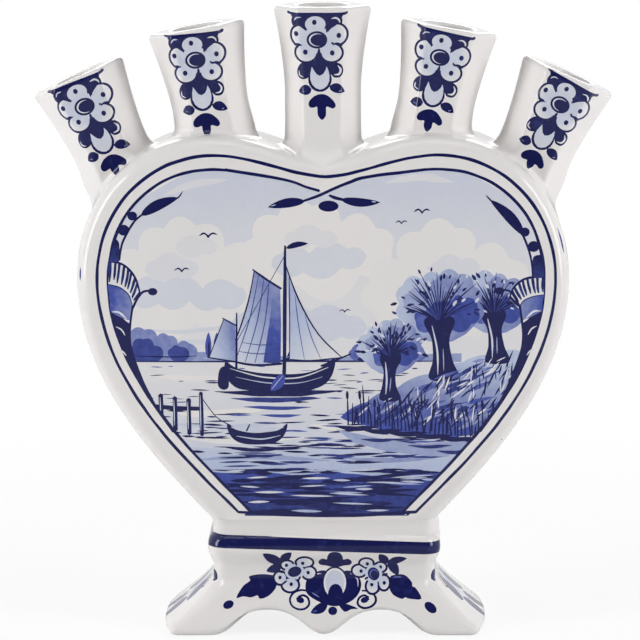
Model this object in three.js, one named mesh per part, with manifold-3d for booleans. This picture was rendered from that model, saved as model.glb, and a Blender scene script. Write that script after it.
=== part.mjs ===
// Flower holder for tulips, in glazed tin earthenware: a flat hollow heart in two moulded
// halves, five six-sided spouts fanned over its shoulders, and a hollow bracket foot.
// Millimetres, +Z up, painted front towards -Y, origin on the ground under the middle.

import * as THREE from 'three';
import { mergeVertices } from 'three/addons/utils/BufferGeometryUtils.js';
import Module from 'manifold-3d';

const wasm = await Module();
wasm.setup();

// Heart flask, seen from the front
const flaskWidth = 156.4;
const flaskDepth = 43;
const flaskHeight = 122.9; // from the seat on the foot to the tops of the lobes
const flaskBaseWidth = 72.4;
const flaskWall = 4;
const flaskEdgeRadius = 5.5; // rounding from the flat panel into the side wall
const flaskInnerRadius = 2.5;
const widestHeight = 77.3; // above the seat
const lobeSpacing = 70; // between the two lobe tops
const notchDepth = 8.7; // from the lobe tops down to the notch
const notchEase = 9.7; // how far the notch runs level before it climbs
const notchClimb = 1.5;
const lobeInnerReach = 13.5; // level stretch of each lobe towards the notch
const lobeOuterReach = 24.6;
const shoulderReach = 26; // upright stretch above the widest level
const flankReach = 31; // upright stretch below it
const tailSpread = 20.6; // direction in which each flank runs into the seat
const tailRise = 21.6;

// Spouts, measured across the corners of the hexagon
const rimWidth = 32.3;
const rimCurve = 1.5; // how sharply the spout opens from its waist to its rim
const waistWidth = 24.8;
const waistDrop = 27; // from the rim down to the waist
const spoutCornerRadius = 2.4;
const lipRadius = 2;
const seatFlare = 1.6; // extra width where the spout is luted down
const seatFlareHeight = 13;
const rootLength = 10.5; // runs on below the seat, to be cut to the flask's curve
const boreDiameter = 16.2; // at the mouth, for one tulip stem
const throatDiameter = 14.4; // at the waist and below
const mouthRounding = 1.5;
const centerSpoutLength = 48.8; // along its axis, from the seat to the rim
const nearSpoutLength = 33.8;
const farSpoutLength = 33;
const nearSeatInset = 0.4; // in from the top of the lobe
const farSeatInset = 13.1; // in from the widest point of the heart
const nearLean = 10; // degrees from upright
const farLean = 24;
const centerSpread = 0.42; // the middle spout's root deepens by this share, to meet the panel
const centerSpreadHeight = 24;

// Foot
const footHeight = 37;
const footWidth = 104;
const footDepth = 52.6;
const footWall = 5;
const footInnerRadius = 1.5;
const deckThickness = 5; // closes the foot under the flask
const neckHeight = 5.5;
const neckInset = 0.5; // the neck stands in from the flask's faces
const neckCornerRadius = 6;
const toeCornerRadius = 3;
const flareHeight = 17.6;
const flarePower = 1.1;
const collarHeight = 8;
const collarProjection = 1.6;
const archInset = 15.5; // from the side of the foot to the start of the arches
const archHeight = 7.9;
const archShoulder = 5; // how far in from the toe each arch is already at its full height
const archCrown = 10.9; // level reach of each arch's crown
const dropCrown = 5.5; // level reach at the tip of the middle drop
const dropClearance = 0.4; // the middle drop stays just clear of the ground

// Joints between luted pieces, and how finely curves are stepped
const slipGap = 0.3;
const heartSteps = 40;
const edgeSteps = 4;
const hexCornerSteps = 3;
const spoutStep = 4;
const lipSteps = 3;
const boreSides = 24;
const footCornerSteps = 5;
const flareSteps = 7;
const collarSteps = 8;
const archSteps = 10;

const seatZ = footHeight;
const lobeZ = seatZ + flaskHeight;
const notchZ = lobeZ - notchDepth;
const flaskHalfDepth = flaskDepth / 2;

// Solids

function toSolid(geometry) {
  const bare = geometry.clone();
  bare.deleteAttribute('normal');
  bare.deleteAttribute('uv');
  const merged = mergeVertices(bare, 1e-4);
  const mesh = new wasm.Mesh({
    numProp: 3,
    vertProperties: new Float32Array(merged.attributes.position.array),
    triVerts: new Uint32Array(merged.index.array),
  });
  return new wasm.Manifold(mesh);
}

function toGeometry(solid) {
  const mesh = solid.getMesh();
  const geometry = new THREE.BufferGeometry();
  geometry.setAttribute('position', new THREE.BufferAttribute(mesh.vertProperties, 3));
  geometry.setIndex(new THREE.BufferAttribute(mesh.triVerts, 1));
  geometry.computeVertexNormals();
  return geometry;
}

// A closed skin over matching outlines. Each section has an outline of 2-D points and a
// level, and place() puts an outline point into space.
function loft(sections, place) {
  const count = sections[0].outline.length;
  const positions = [];
  const indices = [];
  for (const section of sections) {
    for (const point of section.outline) {
      const spot = place(point, section.level);
      positions.push(spot.x, spot.y, spot.z);
    }
  }
  for (let row = 0; row < sections.length - 1; row += 1) {
    for (let i = 0; i < count; i += 1) {
      const next = (i + 1) % count;
      const a = row * count + i;
      const b = row * count + next;
      indices.push(a, b, b + count, a, b + count, a + count);
    }
  }
  const lastRow = (sections.length - 1) * count;
  const firstCap = THREE.ShapeUtils.triangulateShape(sections[0].outline, []);
  const lastCap = THREE.ShapeUtils.triangulateShape(sections.at(-1).outline, []);
  const wound = THREE.ShapeUtils.area(sections[0].outline) > 0;
  for (const [a, b, c] of firstCap) {
    indices.push(...(wound ? [c, b, a] : [a, b, c]));
  }
  for (const [a, b, c] of lastCap) {
    const corners = wound ? [a, b, c] : [c, b, a];
    indices.push(...corners.map((corner) => corner + lastRow));
  }
  if (signedVolume(positions, indices) < 0) {
    indices.reverse();
  }
  const geometry = new THREE.BufferGeometry();
  geometry.setAttribute('position', new THREE.Float32BufferAttribute(positions, 3));
  geometry.setIndex(indices);
  return toSolid(geometry);
}

function signedVolume(positions, indices) {
  const corner = (index) => new THREE.Vector3().fromArray(positions, index * 3);
  let volume = 0;
  for (let i = 0; i < indices.length; i += 3) {
    const a = corner(indices[i]);
    const b = corner(indices[i + 1]);
    const c = corner(indices[i + 2]);
    volume += a.dot(b.cross(c)) / 6;
  }
  return volume;
}

// Heart outline

// The right half of the outline, from the notch round the lobe and down past the seat.
function heartPath() {
  const path = new THREE.Path();
  const lobeX = lobeSpacing / 2;
  const sideX = flaskWidth / 2;
  const widestZ = seatZ + widestHeight;
  const baseX = flaskBaseWidth / 2;
  path.moveTo(0, notchZ);
  path.bezierCurveTo(notchEase, notchZ + notchClimb, lobeX - lobeInnerReach, lobeZ, lobeX, lobeZ);
  path.bezierCurveTo(lobeX + lobeOuterReach, lobeZ, sideX, widestZ + shoulderReach, sideX, widestZ);
  path.bezierCurveTo(sideX, widestZ - flankReach, baseX + tailSpread, seatZ + tailRise, baseX, seatZ);
  path.lineTo(baseX - tailSpread, seatZ - tailRise);
  return path;
}

// The half outline moved inwards by an inset and cut off at a floor level, as evenly
// spaced points.
function heartHalf(inset, floorZ) {
  const raw = heartPath().getPoints(heartSteps * 2);
  const moved = raw.map((point, i) => {
    const before = raw[Math.max(i - 1, 0)];
    const after = raw[Math.min(i + 1, raw.length - 1)];
    const along = i === 0 ? new THREE.Vector2(1, 0) : after.clone().sub(before).normalize();
    return new THREE.Vector2(point.x + along.y * inset, point.y - along.x * inset);
  });
  const kept = [];
  for (let i = 0; i < moved.length; i += 1) {
    if (moved[i].y < floorZ) {
      const share = (moved[i - 1].y - floorZ) / (moved[i - 1].y - moved[i].y);
      kept.push(moved[i - 1].clone().lerp(moved[i], share));
      break;
    }
    kept.push(moved[i]);
  }
  return new THREE.SplineCurve(kept).getSpacedPoints(heartSteps);
}

function heartOutline(inset, floorZ) {
  const right = heartHalf(inset, floorZ);
  const left = right.slice(1).reverse().map((point) => new THREE.Vector2(-point.x, point.y));
  return [...right, ...left];
}

// One half of a heart-shaped block, from just past the seam to its flat panel, with the
// panel's edge rounded. side is -1 for the front and 1 for the back.
function heartBlock({ side, inset, halfDepth, edgeRadius, floorZ, overrun = 0 }) {
  const sections = [{ outline: heartOutline(inset, floorZ), level: -overrun }];
  for (let step = 0; step <= edgeSteps; step += 1) {
    const turn = (step / edgeSteps) * (Math.PI / 2);
    sections.push({
      outline: heartOutline(inset + edgeRadius * (1 - Math.cos(turn)), floorZ),
      level: halfDepth - edgeRadius + edgeRadius * Math.sin(turn),
    });
  }
  return loft(sections, (point, level) => new THREE.Vector3(point.x, side * level, point.y));
}

function shoulderZ(x) {
  const points = heartPath().getPoints(heartSteps * 2);
  const after = points.findIndex((point) => point.x >= Math.abs(x));
  if (after === 0) {
    return points[0].y;
  }
  const before = points[after - 1];
  const share = (Math.abs(x) - before.x) / (points[after].x - before.x);
  return THREE.MathUtils.lerp(before.y, points[after].y, share);
}

// Spouts

const nearSeatX = lobeSpacing / 2 - nearSeatInset;
const farSeatX = flaskWidth / 2 - farSeatInset;

const spouts = [
  { name: 'spout_far_left', seatX: -farSeatX, lean: -farLean, length: farSpoutLength },
  { name: 'spout_near_left', seatX: -nearSeatX, lean: -nearLean, length: nearSpoutLength },
  { name: 'spout_center', seatX: 0, lean: 0, length: centerSpoutLength, spread: centerSpread },
  { name: 'spout_near_right', seatX: nearSeatX, lean: nearLean, length: nearSpoutLength },
  { name: 'spout_far_right', seatX: farSeatX, lean: farLean, length: farSpoutLength },
];

// A hexagon with rounded corners, flat sides to front and back, of a width over corners.
function hexagon(width, depthScale) {
  const points = [];
  const center = width / 2 - spoutCornerRadius / Math.cos(Math.PI / 6);
  for (let corner = 0; corner < 6; corner += 1) {
    const facing = (corner * Math.PI) / 3;
    for (let step = 0; step <= hexCornerSteps; step += 1) {
      const turn = facing + (step / hexCornerSteps - 0.5) * (Math.PI / 3);
      points.push(new THREE.Vector2(
        center * Math.cos(facing) + spoutCornerRadius * Math.cos(turn),
        (center * Math.sin(facing) + spoutCornerRadius * Math.sin(turn)) * depthScale,
      ));
    }
  }
  return points;
}

// Width over corners at a distance below the rim.
function spoutWidth(drop, length) {
  const above = Math.max(0, 1 - drop / waistDrop);
  const nearSeat = Math.min(1, Math.max(0, 1 - (length - drop) / seatFlareHeight));
  return waistWidth + (rimWidth - waistWidth) * above ** rimCurve + seatFlare * nearSeat ** 2;
}

// Puts a point of the spout's own frame (across, depth, height above the seat) into space.
function spoutPlace(spout) {
  const seat = new THREE.Vector3(spout.seatX, 0, shoulderZ(spout.seatX));
  const turn = THREE.MathUtils.degToRad(spout.lean);
  return (x, y, height) => new THREE.Vector3(x, y, height)
    .applyAxisAngle(new THREE.Vector3(0, 1, 0), turn)
    .add(seat);
}

// Distances below the rim at which the spout's skin is stepped, close together on the lip.
function spoutDrops(length) {
  const drops = [];
  for (let step = 0; step < lipSteps; step += 1) {
    drops.push(lipRadius * (1 - Math.cos((step / lipSteps) * (Math.PI / 2))));
  }
  const count = Math.round((length - lipRadius) / spoutStep);
  for (let step = 0; step <= count; step += 1) {
    drops.push(lipRadius + (length - lipRadius) * (step / count));
  }
  return [...drops, length + rootLength];
}

function spoutBody(spout) {
  const { length, spread = 0 } = spout;
  const sections = spoutDrops(length).map((drop) => {
    const intoLip = Math.max(0, 1 - drop / lipRadius);
    const inset = lipRadius * (1 - Math.sqrt(1 - intoLip ** 2));
    const nearSeat = Math.min(1, Math.max(0, 1 - (length - drop) / centerSpreadHeight));
    const width = spoutWidth(drop, length) - (2 * inset) / Math.cos(Math.PI / 6);
    return { outline: hexagon(width, 1 + spread * nearSeat ** 2), level: length - drop };
  });
  const place = spoutPlace(spout);
  return loft(sections, (point, level) => place(point.x, point.y, level));
}

// The hole for a stem: a rounded mouth, a throat, and on through the wall of the flask.
function boreBody(spout) {
  const mouth = boreDiameter / 2;
  const throat = throatDiameter / 2;
  const rim = spout.length;
  const profile = new THREE.Path();
  profile.moveTo(0, -rootLength);
  profile.lineTo(throat, -rootLength);
  profile.lineTo(throat, rim - waistDrop);
  profile.lineTo(mouth, rim - mouthRounding);
  profile.quadraticCurveTo(mouth, rim, mouth + mouthRounding, rim);
  profile.lineTo(mouth + mouthRounding, rim + lipRadius);
  profile.lineTo(0, rim + lipRadius);
  const geometry = new THREE.LatheGeometry(profile.getPoints(lipSteps), boreSides);
  geometry.rotateX(Math.PI / 2);
  const place = spoutPlace(spout);
  const position = geometry.attributes.position;
  for (let i = 0; i < position.count; i += 1) {
    const spot = place(position.getX(i), position.getY(i), position.getZ(i));
    position.setXYZ(i, spot.x, spot.y, spot.z);
  }
  return toSolid(geometry);
}

function makeSpout(spout) {
  let solid = spoutBody(spout);
  for (const side of [-1, 1]) {
    solid = solid.subtract(heartBlock({
      side,
      inset: -slipGap,
      halfDepth: flaskHalfDepth + slipGap,
      edgeRadius: flaskEdgeRadius,
      floorZ: seatZ,
      overrun: slipGap,
    }));
  }
  return solid.subtract(boreBody(spout));
}

// Flask halves

function makeFlaskHalf(side) {
  const outer = heartBlock({
    side,
    inset: 0,
    halfDepth: flaskHalfDepth,
    edgeRadius: flaskEdgeRadius,
    floorZ: seatZ,
  });
  const hollow = heartBlock({
    side,
    inset: flaskWall,
    halfDepth: flaskHalfDepth - flaskWall,
    edgeRadius: flaskInnerRadius,
    floorZ: seatZ + flaskWall,
    overrun: flaskWall,
  });
  return spouts.reduce((shell, spout) => shell.subtract(boreBody(spout)), outer.subtract(hollow));
}

// Foot

const collarBottom = footHeight - neckHeight - collarHeight;

// How far the collar's roll stands out at a height.
function collarSwell(z) {
  const fromMiddle = Math.abs(z - collarBottom - collarHeight / 2) / (collarHeight / 2);
  return collarProjection * Math.sqrt(1 - Math.min(1, fromMiddle) ** 3);
}

// The share of the foot's full spread reached at a height.
function flareShare(z) {
  return Math.max(0, 1 - Math.max(z, 0) / flareHeight) ** flarePower;
}

function roundedRectangle(halfWidth, halfDepth, radius) {
  const points = [];
  for (let corner = 0; corner < 4; corner += 1) {
    const signX = corner === 0 || corner === 3 ? 1 : -1;
    const signY = corner < 2 ? 1 : -1;
    for (let step = 0; step <= footCornerSteps; step += 1) {
      const turn = (corner + step / footCornerSteps) * (Math.PI / 2);
      points.push(new THREE.Vector2(
        signX * (halfWidth - radius) + radius * Math.cos(turn),
        signY * (halfDepth - radius) + radius * Math.sin(turn),
      ));
    }
  }
  return points;
}

// The foot's outline at a height, moved inwards by an inset.
function footSection(z, inset) {
  const share = flareShare(z);
  const swell = collarSwell(z) - inset;
  const neckWidth = flaskBaseWidth - 2 * neckInset;
  const neckDepth = flaskDepth - 2 * neckInset;
  const corner = THREE.MathUtils.lerp(neckCornerRadius, toeCornerRadius, share);
  return roundedRectangle(
    THREE.MathUtils.lerp(neckWidth, footWidth, share) / 2 + swell,
    THREE.MathUtils.lerp(neckDepth, footDepth, share) / 2 + swell,
    Math.max(corner - inset, footInnerRadius),
  );
}

function footBlock(levels, inset) {
  const sections = levels.map((level) => ({ outline: footSection(level, inset), level }));
  return loft(sections, (point, level) => new THREE.Vector3(point.x, point.y, level));
}

function footLevels() {
  const levels = [];
  for (let step = 0; step <= flareSteps; step += 1) {
    levels.push(flareHeight * (step / flareSteps));
  }
  for (let step = 0; step <= collarSteps; step += 1) {
    const turn = Math.PI * (step / collarSteps);
    levels.push(collarBottom + collarHeight * (1 - Math.cos(turn)) / 2);
  }
  return [...levels, footHeight];
}

// The underside of the apron: an arch on each side of a middle drop.
function archOutline() {
  const startX = footWidth / 2 - archInset;
  const crownX = startX / 2;
  const shoulderX = startX - archShoulder;
  const shape = new THREE.Shape();
  shape.moveTo(-startX, -footWall);
  shape.lineTo(-startX, 0);
  shape.bezierCurveTo(-shoulderX, 0, -crownX - archCrown, archHeight, -crownX, archHeight);
  shape.bezierCurveTo(-crownX + archCrown, archHeight, -dropCrown, dropClearance, 0, dropClearance);
  shape.bezierCurveTo(dropCrown, dropClearance, crownX - archCrown, archHeight, crownX, archHeight);
  shape.bezierCurveTo(crownX + archCrown, archHeight, shoulderX, 0, startX, 0);
  shape.lineTo(startX, -footWall);
  return shape;
}

// The arches pushed right through the foot from front to back.
function archCutter() {
  const settings = { depth: footDepth * 2, bevelEnabled: false, curveSegments: archSteps };
  const geometry = new THREE.ExtrudeGeometry(archOutline(), settings);
  geometry.translate(0, 0, -footDepth);
  geometry.rotateX(Math.PI / 2);
  return toSolid(geometry);
}

function makeFoot() {
  const levels = footLevels();
  const deckUnderside = footHeight - deckThickness;
  const hollowLevels = levels.filter((level) => level < deckUnderside);
  const hollow = footBlock([-footWall, ...hollowLevels, deckUnderside], footWall);
  return footBlock(levels, 0)
    .subtract(hollow)
    .subtract(archCutter());
}

// Assembly

const whiteGlaze = { color: 0xe4e2de, roughness: 0.12, metalness: 0 };

function addPiece(group, name, solid) {
  const mesh = new THREE.Mesh(toGeometry(solid), new THREE.MeshStandardMaterial(whiteGlaze));
  mesh.name = name;
  group.add(mesh);
}

const group = new THREE.Group();
addPiece(group, 'flask_front', makeFlaskHalf(-1));
addPiece(group, 'flask_back', makeFlaskHalf(1));
addPiece(group, 'foot', makeFoot());
for (const spout of spouts) {
  addPiece(group, spout.name, makeSpout(spout));
}

export default group;
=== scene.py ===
import math
import random

import bmesh
import bpy
import numpy as np
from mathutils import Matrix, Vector
from mathutils.geometry import delaunay_2d_cdt


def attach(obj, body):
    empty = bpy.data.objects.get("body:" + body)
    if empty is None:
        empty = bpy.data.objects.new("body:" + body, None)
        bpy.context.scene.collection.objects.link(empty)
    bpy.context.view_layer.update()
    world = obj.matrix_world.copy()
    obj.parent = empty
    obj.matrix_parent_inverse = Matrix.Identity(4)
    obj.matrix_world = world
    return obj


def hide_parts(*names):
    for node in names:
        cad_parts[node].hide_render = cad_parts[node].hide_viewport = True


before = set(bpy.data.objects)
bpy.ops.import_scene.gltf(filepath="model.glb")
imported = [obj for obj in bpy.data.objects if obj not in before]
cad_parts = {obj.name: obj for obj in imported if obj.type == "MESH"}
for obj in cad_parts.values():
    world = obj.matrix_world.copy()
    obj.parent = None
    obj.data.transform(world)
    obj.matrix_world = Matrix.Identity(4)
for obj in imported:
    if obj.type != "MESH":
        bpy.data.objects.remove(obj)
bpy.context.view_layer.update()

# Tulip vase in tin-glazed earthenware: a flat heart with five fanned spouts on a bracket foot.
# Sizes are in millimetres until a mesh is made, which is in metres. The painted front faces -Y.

metre = 0.001        # one millimetre of the sizes below

# Heart outline, shared by the flask, the luting of the spouts and the painted borders

flask = dict(
    width=156.4, depth=43.0, height=122.9, baseWidth=72.4, wall=4.0,
    edgeRadius=5.5, innerRadius=2.5, seatHeight=37.0,
    widestHeight=77.3, lobeSpacing=70.0, notchDepth=8.7, notchEase=9.7, notchClimb=1.5,
    lobeInnerReach=13.5, lobeOuterReach=24.6, shoulderReach=26.0, flankReach=31.0,
    tailSpread=20.6, tailRise=21.6,
    crown=0.9, crownReach=26.0,      # the panel swells this much, over this distance from its edge
    curveSteps=60, outlineSteps=150, sideRows=5, edgeRows=9, panelStep=4.0,
    hollowSteps=50, hollowSideRows=2, hollowEdgeRows=4,
)
lobeTop = flask["seatHeight"] + flask["height"]
halfDepth = flask["depth"] / 2


def bezier(start, controlA, controlB, end, steps):
    t = np.linspace(0, 1, steps + 1)[:, None]
    points = [np.array(point, float) for point in (start, controlA, controlB, end)]
    weights = [(1 - t) ** 3, 3 * t * (1 - t) ** 2, 3 * t ** 2 * (1 - t), t ** 3]
    return sum(weight * point for weight, point in zip(weights, points))


def chain(*stretches):
    joined = [stretches[0]]
    for stretch in stretches[1:]:
        joined.append(stretch[1:])
    return np.concatenate(joined)


def heartHalf():
    # The right half from the notch over the lobe and on down, a little past the seat
    f = flask
    notch = lobeTop - f["notchDepth"]
    lobeX, sideX, baseX = f["lobeSpacing"] / 2, f["width"] / 2, f["baseWidth"] / 2
    seat, steps = f["seatHeight"], f["curveSteps"]
    widest = seat + f["widestHeight"]
    return chain(
        bezier((0, notch), (f["notchEase"], notch + f["notchClimb"]),
               (lobeX - f["lobeInnerReach"], lobeTop), (lobeX, lobeTop), steps),
        bezier((lobeX, lobeTop), (lobeX + f["lobeOuterReach"], lobeTop),
               (sideX, widest + f["shoulderReach"]), (sideX, widest), steps),
        bezier((sideX, widest), (sideX, widest - f["flankReach"]),
               (baseX + f["tailSpread"], seat + f["tailRise"]), (baseX, seat), steps),
        np.array([(baseX, seat), (baseX - f["tailSpread"], seat - f["tailRise"])]),
    )


rightHalf = heartHalf()
heartLine = np.concatenate([rightHalf[::-1] * (-1, 1), rightHalf[1:]])


def insetOf(points):
    # How far each (x, z) lies inside the outline; outside counts negative
    start, along = heartLine[:-1], np.diff(heartLine, axis=0)
    length2 = (along ** 2).sum(1)
    points = np.asarray(points, float)
    pointsAtOnce = 3000
    found = []
    for block in np.array_split(points, max(1, len(points) // pointsAtOnce)):
        rel = block[:, None, :] - start[None]
        share = np.clip((rel * along).sum(2) / length2, 0, 1)
        off = rel - along[None] * share[..., None]
        gap2 = (off ** 2).sum(2)
        near = gap2.argmin(1)
        row = np.arange(len(block))
        side = along[near, 0] * rel[row, near, 1] - along[near, 1] * rel[row, near, 0]
        found.append(np.sqrt(gap2[row, near]) * np.where(side < 0, 1, -1))
    return np.concatenate(found)


def spacedLine(line, count):
    # count + 1 points evenly spaced along a line
    run = np.concatenate([[0], np.cumsum(np.linalg.norm(np.diff(line, axis=0), axis=1))])
    at = np.linspace(0, run[-1], count + 1)
    return np.stack([np.interp(at, run, line[:, axis]) for axis in (0, 1)], axis=1)


def heartLoop(inset, floorZ, steps):
    # The outline moved in by an inset and cut at a floor, from its left end round to its right
    half = rightHalf
    along = np.gradient(half, axis=0)
    along[0] = (1, 0)
    along /= np.linalg.norm(along, axis=1)[:, None]
    moved = half + np.stack([along[:, 1], -along[:, 0]], axis=1) * inset
    below = int(np.argmax(moved[:, 1] < floorZ))
    share = (moved[below - 1, 1] - floorZ) / (moved[below - 1, 1] - moved[below, 1])
    foot = moved[below - 1] + (moved[below] - moved[below - 1]) * share
    kept = spacedLine(np.concatenate([moved[:below], [foot]]), steps)
    return np.concatenate([kept[::-1] * (-1, 1), kept[1:]])


# Mesh building. Everything here takes millimetres and gives objects in metres.

def newObject(name, mesh):
    piece = bpy.data.objects.new(name, mesh)
    bpy.context.scene.collection.objects.link(piece)
    return piece


def meshOf(name, verts, faces):
    mesh = bpy.data.meshes.new(name)
    mesh.from_pydata([tuple(float(c) * metre for c in v) for v in verts], [], faces)
    mesh.update()
    return mesh


def rowFaces(rows, columns, closedRows=False):
    # Quads between rows of a ring with this many columns
    faces = []
    for row in range(rows if closedRows else rows - 1):
        below, above = row * columns, ((row + 1) % rows) * columns
        for i in range(columns):
            j = (i + 1) % columns
            faces.append((below + i, below + j, above + j, above + i))
    return faces


def closedMesh(name, verts, faces):
    # A closed body with every face turned outwards
    mesh = meshOf(name, verts, faces)
    body = bmesh.new()
    body.from_mesh(mesh)
    bmesh.ops.recalc_face_normals(body, faces=body.faces)
    if body.calc_volume(signed=True) < 0:
        bmesh.ops.reverse_faces(body, faces=body.faces)
    openEdges = sum(1 for edge in body.edges if len(edge.link_faces) != 2)
    if openEdges:
        print(name, "has", openEdges, "open edges")
    body.to_mesh(mesh)
    body.free()
    return mesh


def cut(piece, cutters):
    # Takes the cutters away from a piece and leaves a plain mesh
    for cutter in cutters:
        step = piece.modifiers.new("cut", "BOOLEAN")
        step.operation = "DIFFERENCE"
        step.solver = "EXACT"
        step.object = cutter
    depsgraph = bpy.context.evaluated_depsgraph_get()
    mesh = bpy.data.meshes.new_from_object(piece.evaluated_get(depsgraph))
    for thing in [piece, *cutters]:
        bpy.data.objects.remove(thing)
    return mesh


# Flask halves

def crownAt(inset):
    share = np.clip((inset - flask["edgeRadius"]) / flask["crownReach"], 0, 1)
    return flask["crown"] * share ** 2 * (3 - 2 * share)


def heartBlock(name, side, inset, depth, edgeRadius, floorZ, overrun, crowned):
    # A closed block from the seam to the panel, on the front (-1) or the back (1)
    f = flask
    if crowned:
        steps, sideRows, edgeRows = f["outlineSteps"], f["sideRows"], f["edgeRows"]
    else:
        steps, sideRows, edgeRows = f["hollowSteps"], f["hollowSideRows"], f["hollowEdgeRows"]
    verts = []
    levels = [(0.0, -overrun + (depth - edgeRadius + overrun) * k / sideRows) for k in range(sideRows)]
    for k in range(edgeRows + 1):
        turn = math.pi / 2 * k / edgeRows
        levels.append((edgeRadius * (1 - math.cos(turn)), depth - edgeRadius + edgeRadius * math.sin(turn)))
    for setIn, level in levels:
        loop = heartLoop(inset + setIn, floorZ, steps)
        verts += [(x, side * level, z) for x, z in loop]
    columns = 2 * steps + 1
    faces = rowFaces(len(levels), columns)
    faces.append(tuple(range(columns - 1, -1, -1)))
    last = (len(levels) - 1) * columns
    if not crowned:
        faces.append(tuple(last + i for i in range(columns)))
        return newObject(name, closedMesh(name, verts, faces))
    rim = heartLoop(inset + edgeRadius, floorZ, steps)
    low, high, step = rim.min(0), rim.max(0), f["panelStep"]
    grid = np.array([(x, z) for x in np.arange(low[0], high[0], step)
                     for z in np.arange(low[1] + step / 2, high[1], step)])
    grid = grid[insetOf(grid) > edgeRadius + step / 2]
    points, _, triangles, sources, _, origins = delaunay_2d_cdt(
        [Vector(p) for p in [*rim, *grid]], [], [list(range(columns))[::-1]], 1, 1e-6, True)
    index = []
    for point, source, crown in zip(points, sources, crownAt(insetOf([(p.x, p.y) for p in points]))):
        onRim = [i for i in source if i < columns]
        if onRim:
            index.append(last + onRim[0])
        else:
            index.append(len(verts))
            verts.append((point.x, side * (depth + crown), point.y))
    faces += [tuple(index[i] for i in triangle) for triangle, inside in zip(triangles, origins) if inside]
    return newObject(name, closedMesh(name, verts, faces))


# Spouts

spoutShape = dict(
    rimWidth=32.1, rimCurve=1.5, waistWidth=24.8, waistDrop=27.0, cornerRadius=1.9, lipRadius=2.0,
    seatFlare=1.6, seatFlareHeight=13.0, centerSpreadHeight=24.0,
    boreDiameter=16.2, throatDiameter=14.4, mouthRounding=1.5, throughReach=14.0,
    # soft slip round each joint, wider before the centre spout; its edge runs just under the glaze
    filletUp=3.3, filletOut=2.7, centerFilletUp=4.0, centerFilletOut=1.5, filletPull=0.62,
    featherOut=0.25, featherDown=0.12,
    # the underside, hidden in the joint: this far round the bore and below the seat
    undersideMargin=1.5, undersideDrop=0.6, throatDrop=0.4,
    seatSearch=(4.0, -13.0, 0.5), tableStart=-16.0, tableStep=0.25,
    cornerSteps=5, flatSteps=10, wallRows=34, filletRows=12, filletSteps=12, lipRows=6,
    boreRows=8, mouthRows=6, boreSides=48,
)
spouts = [
    dict(node="spout_far_left", name="spoutFarLeft", seatX=-65.1, lean=-24.0, length=33.0, spread=0.0),
    dict(node="spout_near_left", name="spoutNearLeft", seatX=-34.6, lean=-10.0, length=33.8, spread=0.0),
    dict(node="spout_center", name="spoutCenter", seatX=0.0, lean=0.0, length=48.8, spread=0.42),
    dict(node="spout_near_right", name="spoutNearRight", seatX=34.6, lean=10.0, length=33.8, spread=0.0),
    dict(node="spout_far_right", name="spoutFarRight", seatX=65.1, lean=24.0, length=33.0, spread=0.0),
]
def shoulderZ(x):
    rising = rightHalf[:int(np.argmax(rightHalf[:, 0]))]
    return float(np.interp(abs(x), rising[:, 0], rising[:, 1]))


def placeSpout(spout, ring, height):
    # A ring (across, depth) at one height above the seat, or at one for each point, in the frame
    turn = math.radians(spout["lean"])
    x, y = ring[:, 0], ring[:, 1]
    h = np.broadcast_to(np.asarray(height, float), (len(ring),))
    return np.stack([spout["seatX"] + x * math.cos(turn) + h * math.sin(turn), y,
                     shoulderZ(spout["seatX"]) - x * math.sin(turn) + h * math.cos(turn)], axis=-1)


def spoutLocal(spout, placed):
    # The other way: points of the frame as the spout's own (across, depth, height)
    turn = math.radians(spout["lean"])
    x = placed[..., 0] - spout["seatX"]
    z = placed[..., 2] - shoulderZ(spout["seatX"])
    return np.stack([x * math.cos(turn) - z * math.sin(turn), placed[..., 1],
                     x * math.sin(turn) + z * math.cos(turn)], axis=-1)


def hexRing(width, depthScale):
    # A hexagon with rounded corners, of which two point left and right
    s = spoutShape
    radius = s["cornerRadius"]
    center = width / 2 - radius / math.cos(math.pi / 6)

    def spot(corner, turn):
        facing = corner * math.pi / 3
        return (center * math.cos(facing) + radius * math.cos(turn),
                (center * math.sin(facing) + radius * math.sin(turn)) * depthScale)

    points = []
    for corner in range(6):
        for k in range(s["cornerSteps"] + 1):
            points.append(spot(corner, corner * math.pi / 3 + (k / s["cornerSteps"] - 0.5) * math.pi / 3))
        first, second = points[-1], spot(corner + 1, corner * math.pi / 3 + math.pi / 6)
        for k in range(1, s["flatSteps"]):
            share = k / s["flatSteps"]
            points.append(tuple(a + (b - a) * share for a, b in zip(first, second)))
    return np.array(points)


def spoutRing(spout, height):
    # The outer skin's ring at a height above the seat
    s = spoutShape
    drop = spout["length"] - height
    intoLip = max(0.0, 1 - drop / s["lipRadius"])
    inset = s["lipRadius"] * (1 - math.sqrt(max(0.0, 1 - intoLip ** 2)))
    above = max(0.0, 1 - drop / s["waistDrop"])
    nearSeat = min(1.0, max(0.0, 1 - height / s["seatFlareHeight"]))
    width = s["waistWidth"] + (s["rimWidth"] - s["waistWidth"]) * above ** s["rimCurve"]
    width += s["seatFlare"] * nearSeat ** 2 - 2 * inset / math.cos(math.pi / 6)
    root = min(1.0, max(0.0, 1 - height / s["centerSpreadHeight"]))
    return hexRing(width, 1 + spout["spread"] * root ** 2)


def flaskDistance(points):
    # Signed distance to the flask's outer skin
    inset = insetOf(points[..., [0, 2]].reshape(-1, 2)).reshape(points.shape[:-1])
    a = flask["edgeRadius"] - inset
    b = np.abs(points[..., 1]) - (halfDepth - flask["edgeRadius"])
    outer = np.hypot(np.maximum(a, 0), np.maximum(b, 0))
    return outer + np.minimum(np.maximum(a, b), 0) - flask["edgeRadius"]


def flaskSlope(points, step=0.02):
    parts = []
    for axis in range(3):
        move = np.zeros(3)
        move[axis] = step
        parts.append((flaskDistance(points + move) - flaskDistance(points - move)) / (2 * step))
    return np.stack(parts, axis=-1)


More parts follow.
